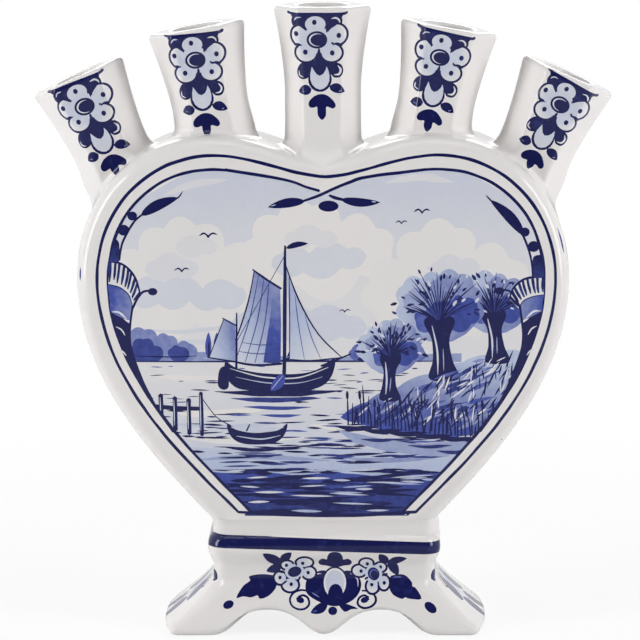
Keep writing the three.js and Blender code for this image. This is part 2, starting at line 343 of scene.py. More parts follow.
def seatHeights(spout, ringAt):
    # For every column, the height at which it comes down onto the flask
    underRim, low, step = spoutShape["seatSearch"]
    heights = np.arange(spout["length"] - underRim, low, -step)
    rings = np.stack([placeSpout(spout, ringAt(h), h) for h in heights])
    distance = flaskDistance(rings)
    inside = distance < 0
    first = np.where(inside.any(0), inside.argmax(0), len(heights) - 1)
    columns = np.arange(rings.shape[1])
    after, before = distance[first, columns], distance[first - 1, columns]
    share = np.clip(before / np.maximum(before - after, 1e-6), 0, 1)
    return heights[first - 1] - step * share


def ringAtHeights(spout, heights):
    # The outer skin's columns, each at a height of its own
    start, step = spoutShape["tableStart"], spoutShape["tableStep"]
    levels = np.arange(start, spout["length"] + 0.01, step)
    table = np.stack([spoutRing(spout, h) for h in levels])
    place = np.clip((heights - start) / step, 0, len(levels) - 1.001)
    low = place.astype(int)
    share = (place - low)[:, None]
    columns = np.arange(table.shape[1])
    return table[low, columns] * (1 - share) + table[low + 1, columns] * share


def spoutMesh(spout):
    s = spoutShape
    length = spout["length"]
    seats = seatHeights(spout, lambda h: spoutRing(spout, h))
    angle = np.arctan2(*spoutRing(spout, 0).T[::-1])
    front = np.abs(np.sin(angle)) ** 2
    isCenter = spout["spread"] > 0
    up = s["filletUp"] + (s["centerFilletUp"] * front if isCenter else 0)
    out = s["filletOut"] + (s["centerFilletOut"] * front if isCenter else 0)
    rows = []
    for k in range(s["lipRows"]):
        drop = s["lipRadius"] * (1 - math.cos(math.pi / 2 * k / s["lipRows"]))
        rows.append(placeSpout(spout, spoutRing(spout, length - drop), length - drop))
    top, bottom = length - s["lipRadius"], seats + up
    for k in range(s["wallRows"] + 1):
        heights = top + (bottom - top) * k / s["wallRows"]
        rows.append(placeSpout(spout, ringAtHeights(spout, heights), heights))
    start = rows[-1]
    corner = placeSpout(spout, ringAtHeights(spout, seats), seats)
    turn = math.radians(spout["lean"])
    axis = np.array([math.sin(turn), 0, math.cos(turn)])
    radial = corner - placeSpout(spout, np.zeros((len(seats), 2)), seats)
    radial /= np.linalg.norm(radial, axis=1)[:, None]
    # walk out over the flask from each column's foot
    spot, heading = corner.copy(), radial.copy()
    for k in range(s["filletSteps"]):
        slope = flaskSlope(spot)
        flat = (slope @ axis)[:, None] * axis + (slope * radial).sum(1)[:, None] * radial
        flat /= np.linalg.norm(flat, axis=1)[:, None]
        across = heading - (heading * flat).sum(1)[:, None] * flat
        heading = across / np.linalg.norm(across, axis=1)[:, None]
        spot = spot + heading * (np.broadcast_to(out, (len(seats),)) / s["filletSteps"])[:, None]
        spot = spot - flat * flaskDistance(spot)[:, None]
    reach = np.linalg.norm(spot - corner, axis=1)[:, None]
    controlA, controlB = start + (corner - start) * s["filletPull"], spot - heading * reach * s["filletPull"]
    for k in range(1, s["filletRows"] + 1):
        t = k / s["filletRows"]
        rows.append((1 - t) ** 3 * start + 3 * t * (1 - t) ** 2 * controlA
                    + 3 * t ** 2 * (1 - t) * controlB + t ** 3 * spot)
    rows.append(spot + heading * s["featherOut"] - flaskSlope(spot) * s["featherDown"])
    # the underside and the bore
    circle = np.stack([np.cos(angle), np.sin(angle)], axis=1)
    throat, mouth = s["throatDiameter"] / 2, s["boreDiameter"] / 2
    lows = seatHeights(spout, lambda h: circle * throat)
    rows.append(placeSpout(spout, circle * (throat + s["undersideMargin"]), lows - s["undersideDrop"]))
    rows.append(placeSpout(spout, circle * throat, lows - s["throatDrop"]))
    profile = []
    waist = max(length - s["waistDrop"], 1.0)
    for k in range(1, s["boreRows"] + 1):
        share = k / s["boreRows"]
        profile.append((throat + (mouth - throat) * share,
            waist + (length - s["mouthRounding"] - waist) * share))
    for k in range(1, s["mouthRows"] + 1):
        turn = math.pi / 2 * k / s["mouthRows"]
        profile.append((mouth + s["mouthRounding"] * (1 - math.cos(turn)),
                        length - s["mouthRounding"] * (1 - math.sin(turn))))
    for radius, height in profile:
        rows.append(placeSpout(spout, circle * radius, height))
    faces = rowFaces(len(rows), len(seats), closedRows=True)
    return closedMesh(spout["name"], np.concatenate(rows), faces)


def boreCutter(spout):
    # The bore through the flask's wall under a spout
    sides, reach = spoutShape["boreSides"], spoutShape["throughReach"]
    radius = spoutShape["throatDiameter"] / 2
    turns = [2 * math.pi * k / sides for k in range(sides)]
    ring = np.array([(radius * math.cos(t), radius * math.sin(t)) for t in turns])
    verts = [*placeSpout(spout, ring, -reach), *placeSpout(spout, ring, reach)]
    faces = rowFaces(2, sides) + [tuple(range(sides)), tuple(range(2 * sides - 1, sides - 1, -1))]
    return newObject("bore", closedMesh("bore", verts, faces))


def flaskHalfMesh(name, side):
    f = flask
    outer = heartBlock(name, side, 0.0, halfDepth, f["edgeRadius"], f["seatHeight"], 0.0, True)
    hollow = heartBlock("hollow", side, f["wall"], halfDepth - f["wall"], f["innerRadius"],
                        f["seatHeight"] + f["wall"], f["wall"], False)
    return cut(outer, [hollow] + [boreCutter(spout) for spout in spouts])


# Foot

footShape = dict(
    height=37.0, width=104.0, depth=52.6, wall=5.0, innerCorner=1.5, deck=5.0, neckHeight=5.5,
    neckInset=0.5, neckFillet=2.5, neckCorner=6.0, toeCorner=2.2, toeHeight=2.2,
    flareHeight=17.6, flarePower=1.1, endPower=1.25, endBow=2.9, bowPower=0.35,
    collarHeight=8.0, collarProjection=1.6, collarUnderPower=1.4, collarOverPower=3, coveLow=22.3,
    archInset=15.5, archHeight=7.9, archShoulder=5.0, archCrown=10.9, dropCrown=5.5, dropClearance=0.4,
    edgeRounding=1.6, bandLow=26.9, bandHigh=30.9, bandSlant=0.033,
    frontSteps=64, sideSteps=22, cornerSteps=7, archSteps=40, roundingRows=6, flareRows=22,
    coveRows=5, collarRows=14, neckRows=6, innerRows=16,
)


def archHeights():
    # The apron's lower edge as (x, z), from the middle drop out to the toe
    f = footShape
    start, steps = f["width"] / 2 - f["archInset"], f["archSteps"]
    crown, shoulder = start / 2, start - f["archShoulder"]
    return chain(
        bezier((0, f["dropClearance"]), (f["dropCrown"], f["dropClearance"]),
               (crown - f["archCrown"], f["archHeight"]), (crown, f["archHeight"]), steps),
        bezier((crown, f["archHeight"]), (crown + f["archCrown"], f["archHeight"]),
               (shoulder, 0), (start, 0), steps),
    )


archLine = archHeights()


def footRing(z, inset):
    # The foot's outline, with z an array that gives each column its own height
    f = footShape
    rise = np.clip((z - f["toeHeight"]) / (f["flareHeight"] - f["toeHeight"]), 0, 1)
    share, endShare = (1 - rise) ** f["flarePower"], (1 - rise) ** f["endPower"]
    # the collar stands upright behind its band and runs in under it
    under = np.clip((z - f["coveLow"]) / (f["bandLow"] - f["coveLow"]), 0, 1)
    over = np.clip((z - f["bandLow"]) / (f["height"] - f["neckHeight"] - f["bandLow"]), 0, 1)
    swell = f["collarProjection"] * (1 - (1 - under) ** f["collarUnderPower"])
    swell = swell * np.sqrt(1 - over ** f["collarOverPower"])
    toSeat = np.clip(1 - (f["height"] - z) / f["neckFillet"], 0, 1)
    neckIn = f["neckInset"] * (1 - toSeat ** 2)
    neckX, neckY = flask["baseWidth"] / 2 - neckIn, halfDepth - neckIn
    halfX = neckX + (f["width"] / 2 - neckX) * endShare + swell - inset
    halfY = neckY + (f["depth"] / 2 - neckY) * share + swell - inset
    radius = f["neckCorner"] + (f["toeCorner"] - f["neckCorner"]) * share - inset
    return halfX, halfY, np.maximum(radius, f["innerCorner"]), f["endBow"] * share ** f["bowPower"]


def footColumns():
    # Where each column stands on the outline: (share of the straight x, y, corner cosine, sine)
    f = footShape
    signs = [(1, 1), (-1, 1), (-1, -1), (1, -1)]
    columns = []
    for corner, (signX, signY) in enumerate(signs):
        for k in range(f["cornerSteps"] + 1):
            turn = (corner + k / f["cornerSteps"]) * math.pi / 2
            columns.append((signX, signY, math.cos(turn), math.sin(turn)))
        nextX, nextY = signs[(corner + 1) % 4]
        steps = f["sideSteps"] if corner % 2 else f["frontSteps"]
        turn = (corner + 1) * math.pi / 2
        for k in range(1, steps):
            share = k / steps
            columns.append((signX + (nextX - signX) * share, signY + (nextY - signY) * share,
                            math.cos(turn), math.sin(turn)))
    return np.array(columns)


def footPoints(columns, z, inset):
    z = np.broadcast_to(np.asarray(z, float), (len(columns),))
    halfX, halfY, radius, bow = footRing(z, np.asarray(inset, float))
    x = columns[:, 0] * (halfX - radius) + radius * columns[:, 2]
    y = columns[:, 1] * (halfY - radius) + radius * columns[:, 3]
    # either end bows outward between its corners
    x *= 1 - bow * (y / halfY) ** 2 / halfX
    return np.stack([x, y, z], axis=1)


def bandHeight(level, x):
    # The height of a row that is level in the middle and follows the band's slant
    f = footShape
    follow = np.interp(level, [f["flareHeight"], f["bandLow"], f["bandHigh"], f["height"]], [0, 1, 1, 0])
    return level - f["bandSlant"] * x * follow


def footMesh():
    f = footShape
    columns = footColumns()
    onApron = np.abs(columns[:, 1]) > 0.999
    lowest = np.zeros(len(columns))
    rounds = 8      # the ring's width and the apron's height settle together
    for _ in range(rounds):
        x = np.abs(footPoints(columns, lowest, 0.0)[:, 0])
        lowest = np.where(onApron, np.interp(x, archLine[:, 0], archLine[:, 1], right=0.0), 0.0)
    collarHigh = f["height"] - f["neckHeight"]
    collarLow = collarHigh - f["collarHeight"]
    outer, inner = [], []
    for k in range(f["roundingRows"]):
        turn = math.pi / 2 * k / f["roundingRows"]
        setIn, lift = f["edgeRounding"] * (1 - math.sin(turn)), f["edgeRounding"] * (1 - math.cos(turn))
        outer.append(footPoints(columns, lowest + lift, setIn))
        inner.append(footPoints(columns, lowest + lift, f["wall"] - setIn))
    base = lowest + f["edgeRounding"]
    for k in range(f["flareRows"]):
        outer.append(footPoints(columns, base + (f["flareHeight"] - base) * k / f["flareRows"], 0.0))
    levels = list(np.linspace(f["flareHeight"], collarLow, f["coveRows"] + 1)[:-1])
    collar = [collarLow + f["collarHeight"] * (1 - math.cos(math.pi * k / f["collarRows"])) / 2
              for k in range(f["collarRows"])]
    for edge in (f["bandLow"], f["bandHigh"]):
        nearest = min(range(len(collar)), key=lambda i: abs(collar[i] - edge))
        collar[nearest] = edge
    levels += collar
    levels += list(np.linspace(collarHigh, f["height"], f["neckRows"] + 1))
    acrossX = footPoints(columns, f["bandLow"], 0.0)[:, 0]
    for level in levels:
        # the rows follow the painted band, which runs a little downhill to the right
        outer.append(footPoints(columns, bandHeight(level, acrossX), 0.0))
    deckUnder = f["height"] - f["deck"]
    for k in range(f["innerRows"] + 1):
        inner.append(footPoints(columns, base + (deckUnder - base) * k / f["innerRows"], f["wall"]))
    rows = outer[::-1] + inner
    faces = rowFaces(len(rows), len(columns))
    faces.append(tuple(range(len(columns))))
    last = (len(rows) - 1) * len(columns)
    faces.append(tuple(last + i for i in range(len(columns) - 1, -1, -1)))
    return closedMesh("bracketFoot", np.concatenate(rows), faces)


# Painting. A mark is a closed outline with a depth of cobalt; the marks are cut into the glazed
# surface itself, and the one that was painted last gives each facet its colour.

sharpAngle = 42      # degrees; edges that turn further than this stay sharp in the glaze


def counterClockwise(points):
    total = sum(a[0] * b[1] - b[0] * a[1] for a, b in zip(points, points[1:] + points[:1]))
    return points if total > 0 else points[::-1]


def paintWindow(coords, triangles, flatten, marks):
    # triangles: (vertex indices, corner normals); gives new points, and facets with their tones
    used = sorted({i for triangle, _ in triangles for i in triangle})
    local = {vertex: i for i, vertex in enumerate(used)}
    flat = flatten(coords[used])

    def doubleArea(a, b, c):
        return (b[0] - a[0]) * (c[1] - a[1]) - (b[1] - a[1]) * (c[0] - a[0])

    points = [Vector(p) for p in flat]
    faces = []
    for triangle, _ in triangles:
        ids = [local[i] for i in triangle]
        faces.append(ids[::-1] if doubleArea(*flat[ids]) < 0 else ids)
    for mark in marks:
        outline = counterClockwise(mark["outline"])
        faces.append(list(range(len(points), len(points) + len(outline))))
        points += [Vector(p) for p in outline]
    newPoints, _, newFaces, pointSources, _, faceSources = delaunay_2d_cdt(points, [], faces, 1, 1e-5, True)
    mirrored = None
    lifted, made, painted = {}, [], []
    for face, sources in zip(newFaces, faceSources):
        bases = [i for i in sources if i < len(triangles)]
        if not bases:
            continue
        last = max(sources) - len(triangles)
        tone = marks[last]["tone"] if last >= 0 else 0.0
        triangle, cornerNormals = triangles[bases[0]]
        a, b, c = flat[[local[i] for i in triangle]]
        area = doubleArea(a, b, c)
        if mirrored is None:
            mirrored = area < 0
        indices, facetNormals, tones = [], [], []
        for i in face:
            p = newPoints[i]
            wa = ((b[0] - p.x) * (c[1] - p.y) - (b[1] - p.y) * (c[0] - p.x)) / area
            wb = ((c[0] - p.x) * (a[1] - p.y) - (c[1] - p.y) * (a[0] - p.x)) / area
            wc = 1 - wa - wb
            if i not in lifted:
                original = [s for s in pointSources[i] if s < len(used)]
                if original:
                    lifted[i] = used[original[0]]
                else:
                    lifted[i] = len(coords) + len(made)
                    made.append(wa * coords[triangle[0]]
                        + wb * coords[triangle[1]] + wc * coords[triangle[2]])
            indices.append(lifted[i])
            normal = wa * cornerNormals[0] + wb * cornerNormals[1] + wc * cornerNormals[2]
            facetNormals.append(normal / max(np.linalg.norm(normal), 1e-9))
            tones.append(tone(p.x, p.y) if callable(tone) else tone)
        if len(set(indices)) < 3:
            continue
        if mirrored:
            indices, facetNormals, tones = indices[::-1], facetNormals[::-1], tones[::-1]
        painted.append((indices, facetNormals, tones))
    return made, painted


def glazedPiece(name, mesh, windows, bandTone=None):
    # Paints the windows of a bare mesh and gives the finished object
    mesh.set_sharp_from_angle(angle=math.radians(sharpAngle))
    coords = np.array([tuple(v.co) for v in mesh.vertices]) / metre
    cornerNormals = np.array([tuple(n.vector) for n in mesh.corner_normals])
    mesh.calc_loop_triangles()
    windowOf = {}
    faces, normals, tones = [], [], []
    for polygon in mesh.polygons:
        center, normal = np.array(polygon.center) / metre, polygon.normal
        holding = [k for k, window in enumerate(windows) if window["holds"](center, normal)]
        if holding:
            windowOf[polygon.index] = holding[0]
            continue
        faces.append(tuple(polygon.vertices))
        normals += [cornerNormals[i] for i in polygon.loop_indices]
        tones += [bandTone(center) if bandTone else 0.0] * len(polygon.vertices)
    for k, window in enumerate(windows):
        triangles = [(tuple(t.vertices), [cornerNormals[i] for i in t.loops])
                     for t in mesh.loop_triangles if windowOf.get(t.polygon_index) == k]
        made, painted = paintWindow(coords, triangles, window["flatten"], window["marks"])
        if made:
            coords = np.concatenate([coords, made])
        for indices, facetNormals, facetTones in painted:
            faces.append(tuple(indices))
            normals += facetNormals
            tones += facetTones
    finished = meshOf(name, coords, faces)
    cobalt = finished.attributes.new("cobalt", "FLOAT", "CORNER")
    cobalt.data.foreach_set("value", np.array(tones, np.float32))
    finished.polygons.foreach_set("use_smooth", [True] * len(finished.polygons))
    finished.normals_split_custom_set([tuple(n) for n in normals])
    bpy.data.meshes.remove(mesh)
    return newObject(name, finished)


# Glaze

glazeLook = dict(
    white=(0.79, 0.765, 0.752), shade=(0.74, 0.722, 0.716), wash=(0.47, 0.53, 0.70),
    middle=(0.052, 0.082, 0.37), dark=(0.0065, 0.0085, 0.078), toneStops=(0.0, 0.3, 0.64, 0.95),
    refraction=1.5, gloss=0.32, roughness=(0.07, 0.15), cloudSize=22.0, cloudDetail=2.0,
    rippleSize=180.0, rippleDetail=1.0, rippleHeight=0.00012, rippleStrength=0.35,
    poolSize=420.0, poolDetail=3.0, poolDepth=0.16,
)


def feed(tree, target, value):
    # Gives an input its value, which may be the output of another node
    if isinstance(value, bpy.types.NodeSocket):
        tree.links.new(value, target)
    else:
        target.default_value = value


def addNode(tree, kind, inputs, **settings):
    made = tree.nodes.new(kind)
    for name, value in settings.items():
        setattr(made, name, value)
    for place, value in inputs.items():
        feed(tree, made.inputs[place], value)
    return made


def glazeMaterial():
    g = glazeLook
    material = bpy.data.materials.new("paintedGlaze")
    material.use_nodes = True
    tree = material.node_tree
    place = addNode(tree, "ShaderNodeTexCoord", {}).outputs["Object"]

    def noise(size, detail):
        inputs = {"Vector": place, "Scale": size, "Detail": detail}
        return addNode(tree, "ShaderNodeTexNoise", inputs).outputs["Fac"]

    # the depth of cobalt pools a little, and the ramp turns it into a colour
    cobalt = addNode(tree, "ShaderNodeAttribute", {}, attribute_name="cobalt")
    pool = noise(g["poolSize"], g["poolDetail"])
    even = addNode(tree, "ShaderNodeMath", {0: pool, 1: g["poolDepth"] * 2, 2: 1 - g["poolDepth"]},
                   operation="MULTIPLY_ADD")
    tone = addNode(tree, "ShaderNodeMath", {0: cobalt.outputs["Fac"], 1: even.outputs[0]},
        operation="MULTIPLY")
    ramp = addNode(tree, "ShaderNodeValToRGB", {"Fac": tone.outputs[0]})
    elements = ramp.color_ramp.elements
    while len(elements) < len(g["toneStops"]):
        elements.new(0.5)
    for element, position, colour in zip(elements, g["toneStops"], ("white", "wash", "middle", "dark")):
        element.position = position
        element.color = (*g[colour], 1)
    # faint clouds in the glaze change its white and its roughness
    cloud = noise(g["cloudSize"], g["cloudDetail"])
    shade = (*[s / w for s, w in zip(g["shade"], g["white"])], 1)
    tint = addNode(tree, "ShaderNodeMix", {}, data_type="RGBA", blend_type="MULTIPLY")
    for slot, value in ((0, cloud), (6, ramp.outputs["Color"]), (7, shade)):
        feed(tree, tint.inputs[slot], value)
    low, high = g["roughness"]
    rough = addNode(tree, "ShaderNodeMapRange", {"Value": cloud, "To Min": low, "To Max": high})
    ripple = noise(g["rippleSize"], g["rippleDetail"])
    bump = addNode(tree, "ShaderNodeBump", {"Height": ripple, "Strength": g["rippleStrength"],
                                            "Distance": g["rippleHeight"]})
    shader = tree.nodes["Principled BSDF"]
    for name, value in (("IOR", g["refraction"]), ("Specular IOR Level", g["gloss"]),
                        ("Base Color", tint.outputs[2]), ("Roughness", rough.outputs["Result"]),
                        ("Normal", bump.outputs["Normal"])):
        feed(tree, shader.inputs[name], value)
    return material


glaze = glazeMaterial()
print("glaze done")


# Brushwork. Points are (across, up) on the surface that is painted. Tone 0 is bare glaze and 1 the
# darkest cobalt; a tone may also be a function of the place.

hand = random.Random(11)
brush = dict(
    uneven=0.14, wobble=0.07, knotSpacing=4, taperShare=0.3, tipReach=0.7,
    leafSteps=9, leafBelly=0.85, leafFullness=0.75, puffSteps=6, puffFullness=0.8,
)


def smoothLine(points, steps=6, closed=False):
    # A curve through the points
    count = len(points)
    line = []
    for i in range(count if closed else count - 1):
        if closed:
            a, b, c, d = (points[(i + k) % count] for k in (-1, 0, 1, 2))
        else:
            a, b, c, d = points[max(i - 1, 0)], points[i], points[i + 1], points[min(i + 2, count - 1)]
        for k in range(steps):
            t = k / steps
            line.append(tuple(b[n] + ((c[n] - a[n]) * t + (2 * a[n] - 5 * b[n] + 4 * c[n] - d[n]) * t ** 2
                                      + (3 * b[n] - a[n] - 3 * c[n] + d[n]) * t ** 3) / 2 for n in (0, 1)))
    if not closed:
        line.append(tuple(points[-1]))
    return line


def mark(outline, tone=1.0):
    return dict(outline=[tuple(map(float, point)) for point in outline], tone=tone)


def blob(points, tone=1.0, steps=5):
    return mark(smoothLine(points, steps, closed=True), tone)


def oval(center, across, up, tone=1.0, turn=0.0, points=22):
    cosine, sine = math.cos(math.radians(turn)), math.sin(math.radians(turn))
    ring = []
    for k in range(points):
        angle = 2 * math.pi * k / points
        x, y = across * math.cos(angle), up * math.sin(angle)
        ring.append((center[0] + x * cosine - y * sine, center[1] + x * sine + y * cosine))
    return mark(ring, tone)


def stroke(points, width, tone=1.0, taper=(0.5, 0.5), steps=6):
    # A brush line; taper is the share of its width that is left at either end
    b = brush
    line = np.array(smoothLine(points, steps))
    along = np.gradient(line, axis=0)
    along /= np.maximum(np.linalg.norm(along, axis=1), 1e-9)[:, None]
    across = np.stack([-along[:, 1], along[:, 0]], axis=1)
    run = np.concatenate([[0], np.cumsum(np.linalg.norm(np.diff(line, axis=0), axis=1))])
    t = run / run[-1]
    knots = max(4, int(run[-1] / b["knotSpacing"]))
    places = np.linspace(0, 1, knots)
    press = np.interp(t, places, [1 + hand.uniform(-b["uneven"], b["uneven"]) for _ in range(knots)])
    sway = np.interp(t, places, [hand.uniform(-b["wobble"], b["wobble"]) for _ in range(knots)])
    line = line + across * (sway * min(1.0, width))[:, None]
    profile = taper[0] + (1 - taper[0]) * np.minimum(1, t / b["taperShare"])
    profile = np.minimum(profile, taper[1] + (1 - taper[1]) * np.minimum(1, (1 - t) / b["taperShare"]))
    half = (width / 2 * profile * press)[:, None]
    start = line[0] - along[0] * half[0] * b["tipReach"]
    end = line[-1] + along[-1] * half[-1] * b["tipReach"]
    return mark([start, *(line + across * half), end, *(line - across * half)[::-1]], tone)


def leaf(base, tip, width, tone=1.0, bend=0.0):
    # A pointed leaf, its middle line bent sideways by a share of its length
    base, tip = np.array(base, float), np.array(tip, float)
    along = tip - base
    across = np.array([-along[1], along[0]])
    unit = across / max(np.linalg.norm(across), 1e-9)
    left, right = [], []
    steps = brush["leafSteps"]
    for k in range(steps + 1):
        t = k / steps
        middle = base + along * t + across * bend * math.sin(math.pi * t)
        half = 0.0
        if 0 < k < steps:
            half = width / 2 * math.sin(math.pi * t ** brush["leafBelly"]) ** brush["leafFullness"]
        left.append(middle + unit * half)
        right.append(middle - unit * half)
    return mark(left + right[-2:0:-1], tone)


def puffs(points, tone, bulge=0.34):
    # A shape whose edge swells out in an arc between each two points, as clouds and tree heads do
    outline = []
    points = counterClockwise(points)[::-1]
    steps = brush["puffSteps"]
    for a, b in zip(points, points[1:] + points[:1]):
        along = (b[0] - a[0], b[1] - a[1])
        for k in range(steps):
            t = k / steps
            out = bulge * math.sin(math.pi * t) ** brush["puffFullness"] if k else 0.0
            outline.append((a[0] + along[0] * t - along[1] * out, a[1] + along[1] * t + along[0] * out))
    return mark(outline, tone)


def fade(start, end, startTone, endTone):
    # A wash that runs from one tone to another
    along = (end[0] - start[0], end[1] - start[1])
    length2 = along[0] ** 2 + along[1] ** 2

    def toneAt(x, y):
        share = ((x - start[0]) * along[0] + (y - start[1]) * along[1]) / length2
        return startTone + (endTone - startTone) * min(1.0, max(0.0, share))
    return toneAt


def halo(center, near, far, nearTone, farTone):
    # A wash that changes with the distance from a point
    def toneAt(x, y):
        share = (math.hypot(x - center[0], y - center[1]) - near) / (far - near)
        return nearTone + (farTone - nearTone) * min(1.0, max(0.0, share))
    return toneAt


def placed(marks, forward, back):
    # The same marks with their points put through one function, and their fades through its inverse
    out = []
    for one in marks:
        tone = one["tone"]
        if callable(tone):
            tone = (lambda x, y, run=tone: run(*back((x, y))))
        out.append(dict(outline=[forward(point) for point in one["outline"]], tone=tone))
    return out


def shifted(marks, x, z, scale=1.0, flip=1):
    return placed(marks, lambda p: (x + flip * scale * p[0], z + scale * p[1]),
                  lambda p: (flip * (p[0] - x) / scale, (p[1] - z) / scale))


# Scattered brush strokes, such as ripples, reeds and grass: lens shapes spread over a patch, longer
# and wider towards its lower edge

scatterLook = dict(outlinePoints=12, lengthSpread=(0.45, 1.5), widthSpread=(0.6, 1.3))


def scatterTree():
    s = scatterLook
    tree = bpy.data.node_groups.new("brushScatter", "GeometryNodeTree")
    sizes = ["Across", "Up", "Count", "Low Length", "High Length", "Low Width", "High Width", "Turn",
        "Turn Spread"]
    for name, way, kind in [*((size, "INPUT", "Float") for size in sizes), ("Seed", "INPUT", "Int"),
                            ("Material", "INPUT", "Material"), ("Strokes", "OUTPUT", "Geometry")]:
        tree.interface.new_socket(name=name, in_out=way, socket_type="NodeSocket" + kind)
    inputs = tree.nodes.new("NodeGroupInput").outputs

    def socket(sockets, name):
        return next(one for one in sockets if one.name == name and one.enabled)

    def math2(operation, first, second=0.0):
        return addNode(tree, "ShaderNodeMath", {0: first, 1: second}, operation=operation).outputs[0]

    def anyOf(low, high, seedStep):
        made = addNode(tree, "FunctionNodeRandomValue", {}, data_type="FLOAT")
        for name, value in (("Min", low), ("Max", high), ("Seed", math2("ADD", inputs["Seed"], seedStep))):
            feed(tree, socket(made.inputs, name), value)
        return socket(made.outputs, "Value")

    def combined(*values):
        return addNode(tree, "ShaderNodeCombineXYZ", dict(enumerate(values))).outputs[0]

    patch = addNode(tree, "GeometryNodeMeshGrid", {"Size X": inputs["Across"], "Size Y": inputs["Up"],
                                                   "Vertices X": 2, "Vertices Y": 2})
    spread = addNode(tree, "GeometryNodeDistributePointsOnFaces",
                     {"Mesh": patch.outputs["Mesh"], "Seed": inputs["Seed"]})
    feed(tree, socket(spread.inputs, "Density"),
         math2("DIVIDE", inputs["Count"], math2("MULTIPLY", inputs["Across"], inputs["Up"])))
    # one stroke: a disc whose ends are drawn to points
    disc = addNode(tree, "GeometryNodeMeshCircle", {"Vertices": s["outlinePoints"], "Radius": 1.0},
        fill_type="NGON")
    place = tree.nodes.new("GeometryNodeInputPosition").outputs[0]
    x, y = addNode(tree, "ShaderNodeSeparateXYZ", {0: place}).outputs[:2]
    pointed = combined(x, math2("MULTIPLY", y, math2("ABSOLUTE", y)))
    lens = addNode(tree, "GeometryNodeSetPosition", {"Geometry": disc.outputs["Mesh"], "Position": pointed})
    # its size and turn where it lands
    height = math2("ADD", math2("DIVIDE", y, inputs["Up"]), 0.5)

    def halfSize(low, high, spreadOf, seedStep):
        size = math2("ADD", low, math2("MULTIPLY", math2("SUBTRACT", high, low), height))
        return math2("MULTIPLY", math2("MULTIPLY", size, 0.5), anyOf(*spreadOf, seedStep))

    size = combined(halfSize(inputs["Low Length"], inputs["High Length"], s["lengthSpread"], 1),
                    halfSize(inputs["Low Width"], inputs["High Width"], s["widthSpread"], 2), 1.0)
    off = math2("MULTIPLY", inputs["Turn Spread"], anyOf(-1.0, 1.0, 3))
    turn = combined(0.0, 0.0, math2("RADIANS", math2("ADD", inputs["Turn"], off)))
    lay = addNode(tree, "GeometryNodeInstanceOnPoints", {"Points": spread.outputs["Points"], "Rotation": turn,
                                                         "Instance": lens.outputs["Geometry"], "Scale": size})
    real = addNode(tree, "GeometryNodeRealizeInstances", {"Geometry": lay.outputs["Instances"]})
    finish = addNode(tree, "GeometryNodeSetMaterial", {"Geometry": real.outputs["Geometry"],
                                                       "Material": inputs["Material"]})
    addNode(tree, "NodeGroupOutput", {"Strokes": finish.outputs["Geometry"]})
    return tree


def scattered(patch):
    # The strokes of one patch as outlines
    carrier = newObject("strokes", bpy.data.meshes.new("strokes"))
    step = carrier.modifiers.new("scatter", "NODES")
    step.node_group = brushScatter
    values = {"Across": patch["across"], "Up": patch["up"], "Count": patch["count"],
              "Low Length": patch["lengths"][0], "High Length": patch["lengths"][1],
              "Low Width": patch["widths"][0], "High Width": patch["widths"][1],
              "Turn": patch["turn"], "Turn Spread": patch["spread"], "Material": glaze}
    for socket in brushScatter.interface.items_tree:
        if socket.in_out == "INPUT":
            value = values.get(socket.name, patch["seed"])
            if socket.socket_type == "NodeSocketFloat":
                value = float(value)
            step[socket.identifier] = value
    carrier.update_tag()
    depsgraph = bpy.context.evaluated_depsgraph_get()
    made = bpy.data.meshes.new_from_object(carrier.evaluated_get(depsgraph))
    outlines = []
    for polygon in made.polygons:
        ring = [made.vertices[i].co for i in polygon.vertices]
        outlines.append([(p.x + patch["center"][0], p.y + patch["center"][1]) for p in ring])
    bpy.data.objects.remove(carrier)
    bpy.data.meshes.remove(made)
    return outlines


def scatteredMarks(patch, tones, within=None):
    # Strokes with a tone picked for each; those that reach outside are left out
    out = []
    for outline in scattered(patch):
        tone = hand.choice(tones)
        if within is None or all(within(x, z) for x, z in (outline[0], outline[len(outline) // 2])):
            out.append(mark(outline, tone))
    return out


brushScatter = scatterTree()
print("brush strokes done")


# Ornament down the front of each spout: flower, drop, calyx, buds and a last leaf, written across
# and down from the rim, with the flower's middle at (0, 10.3)

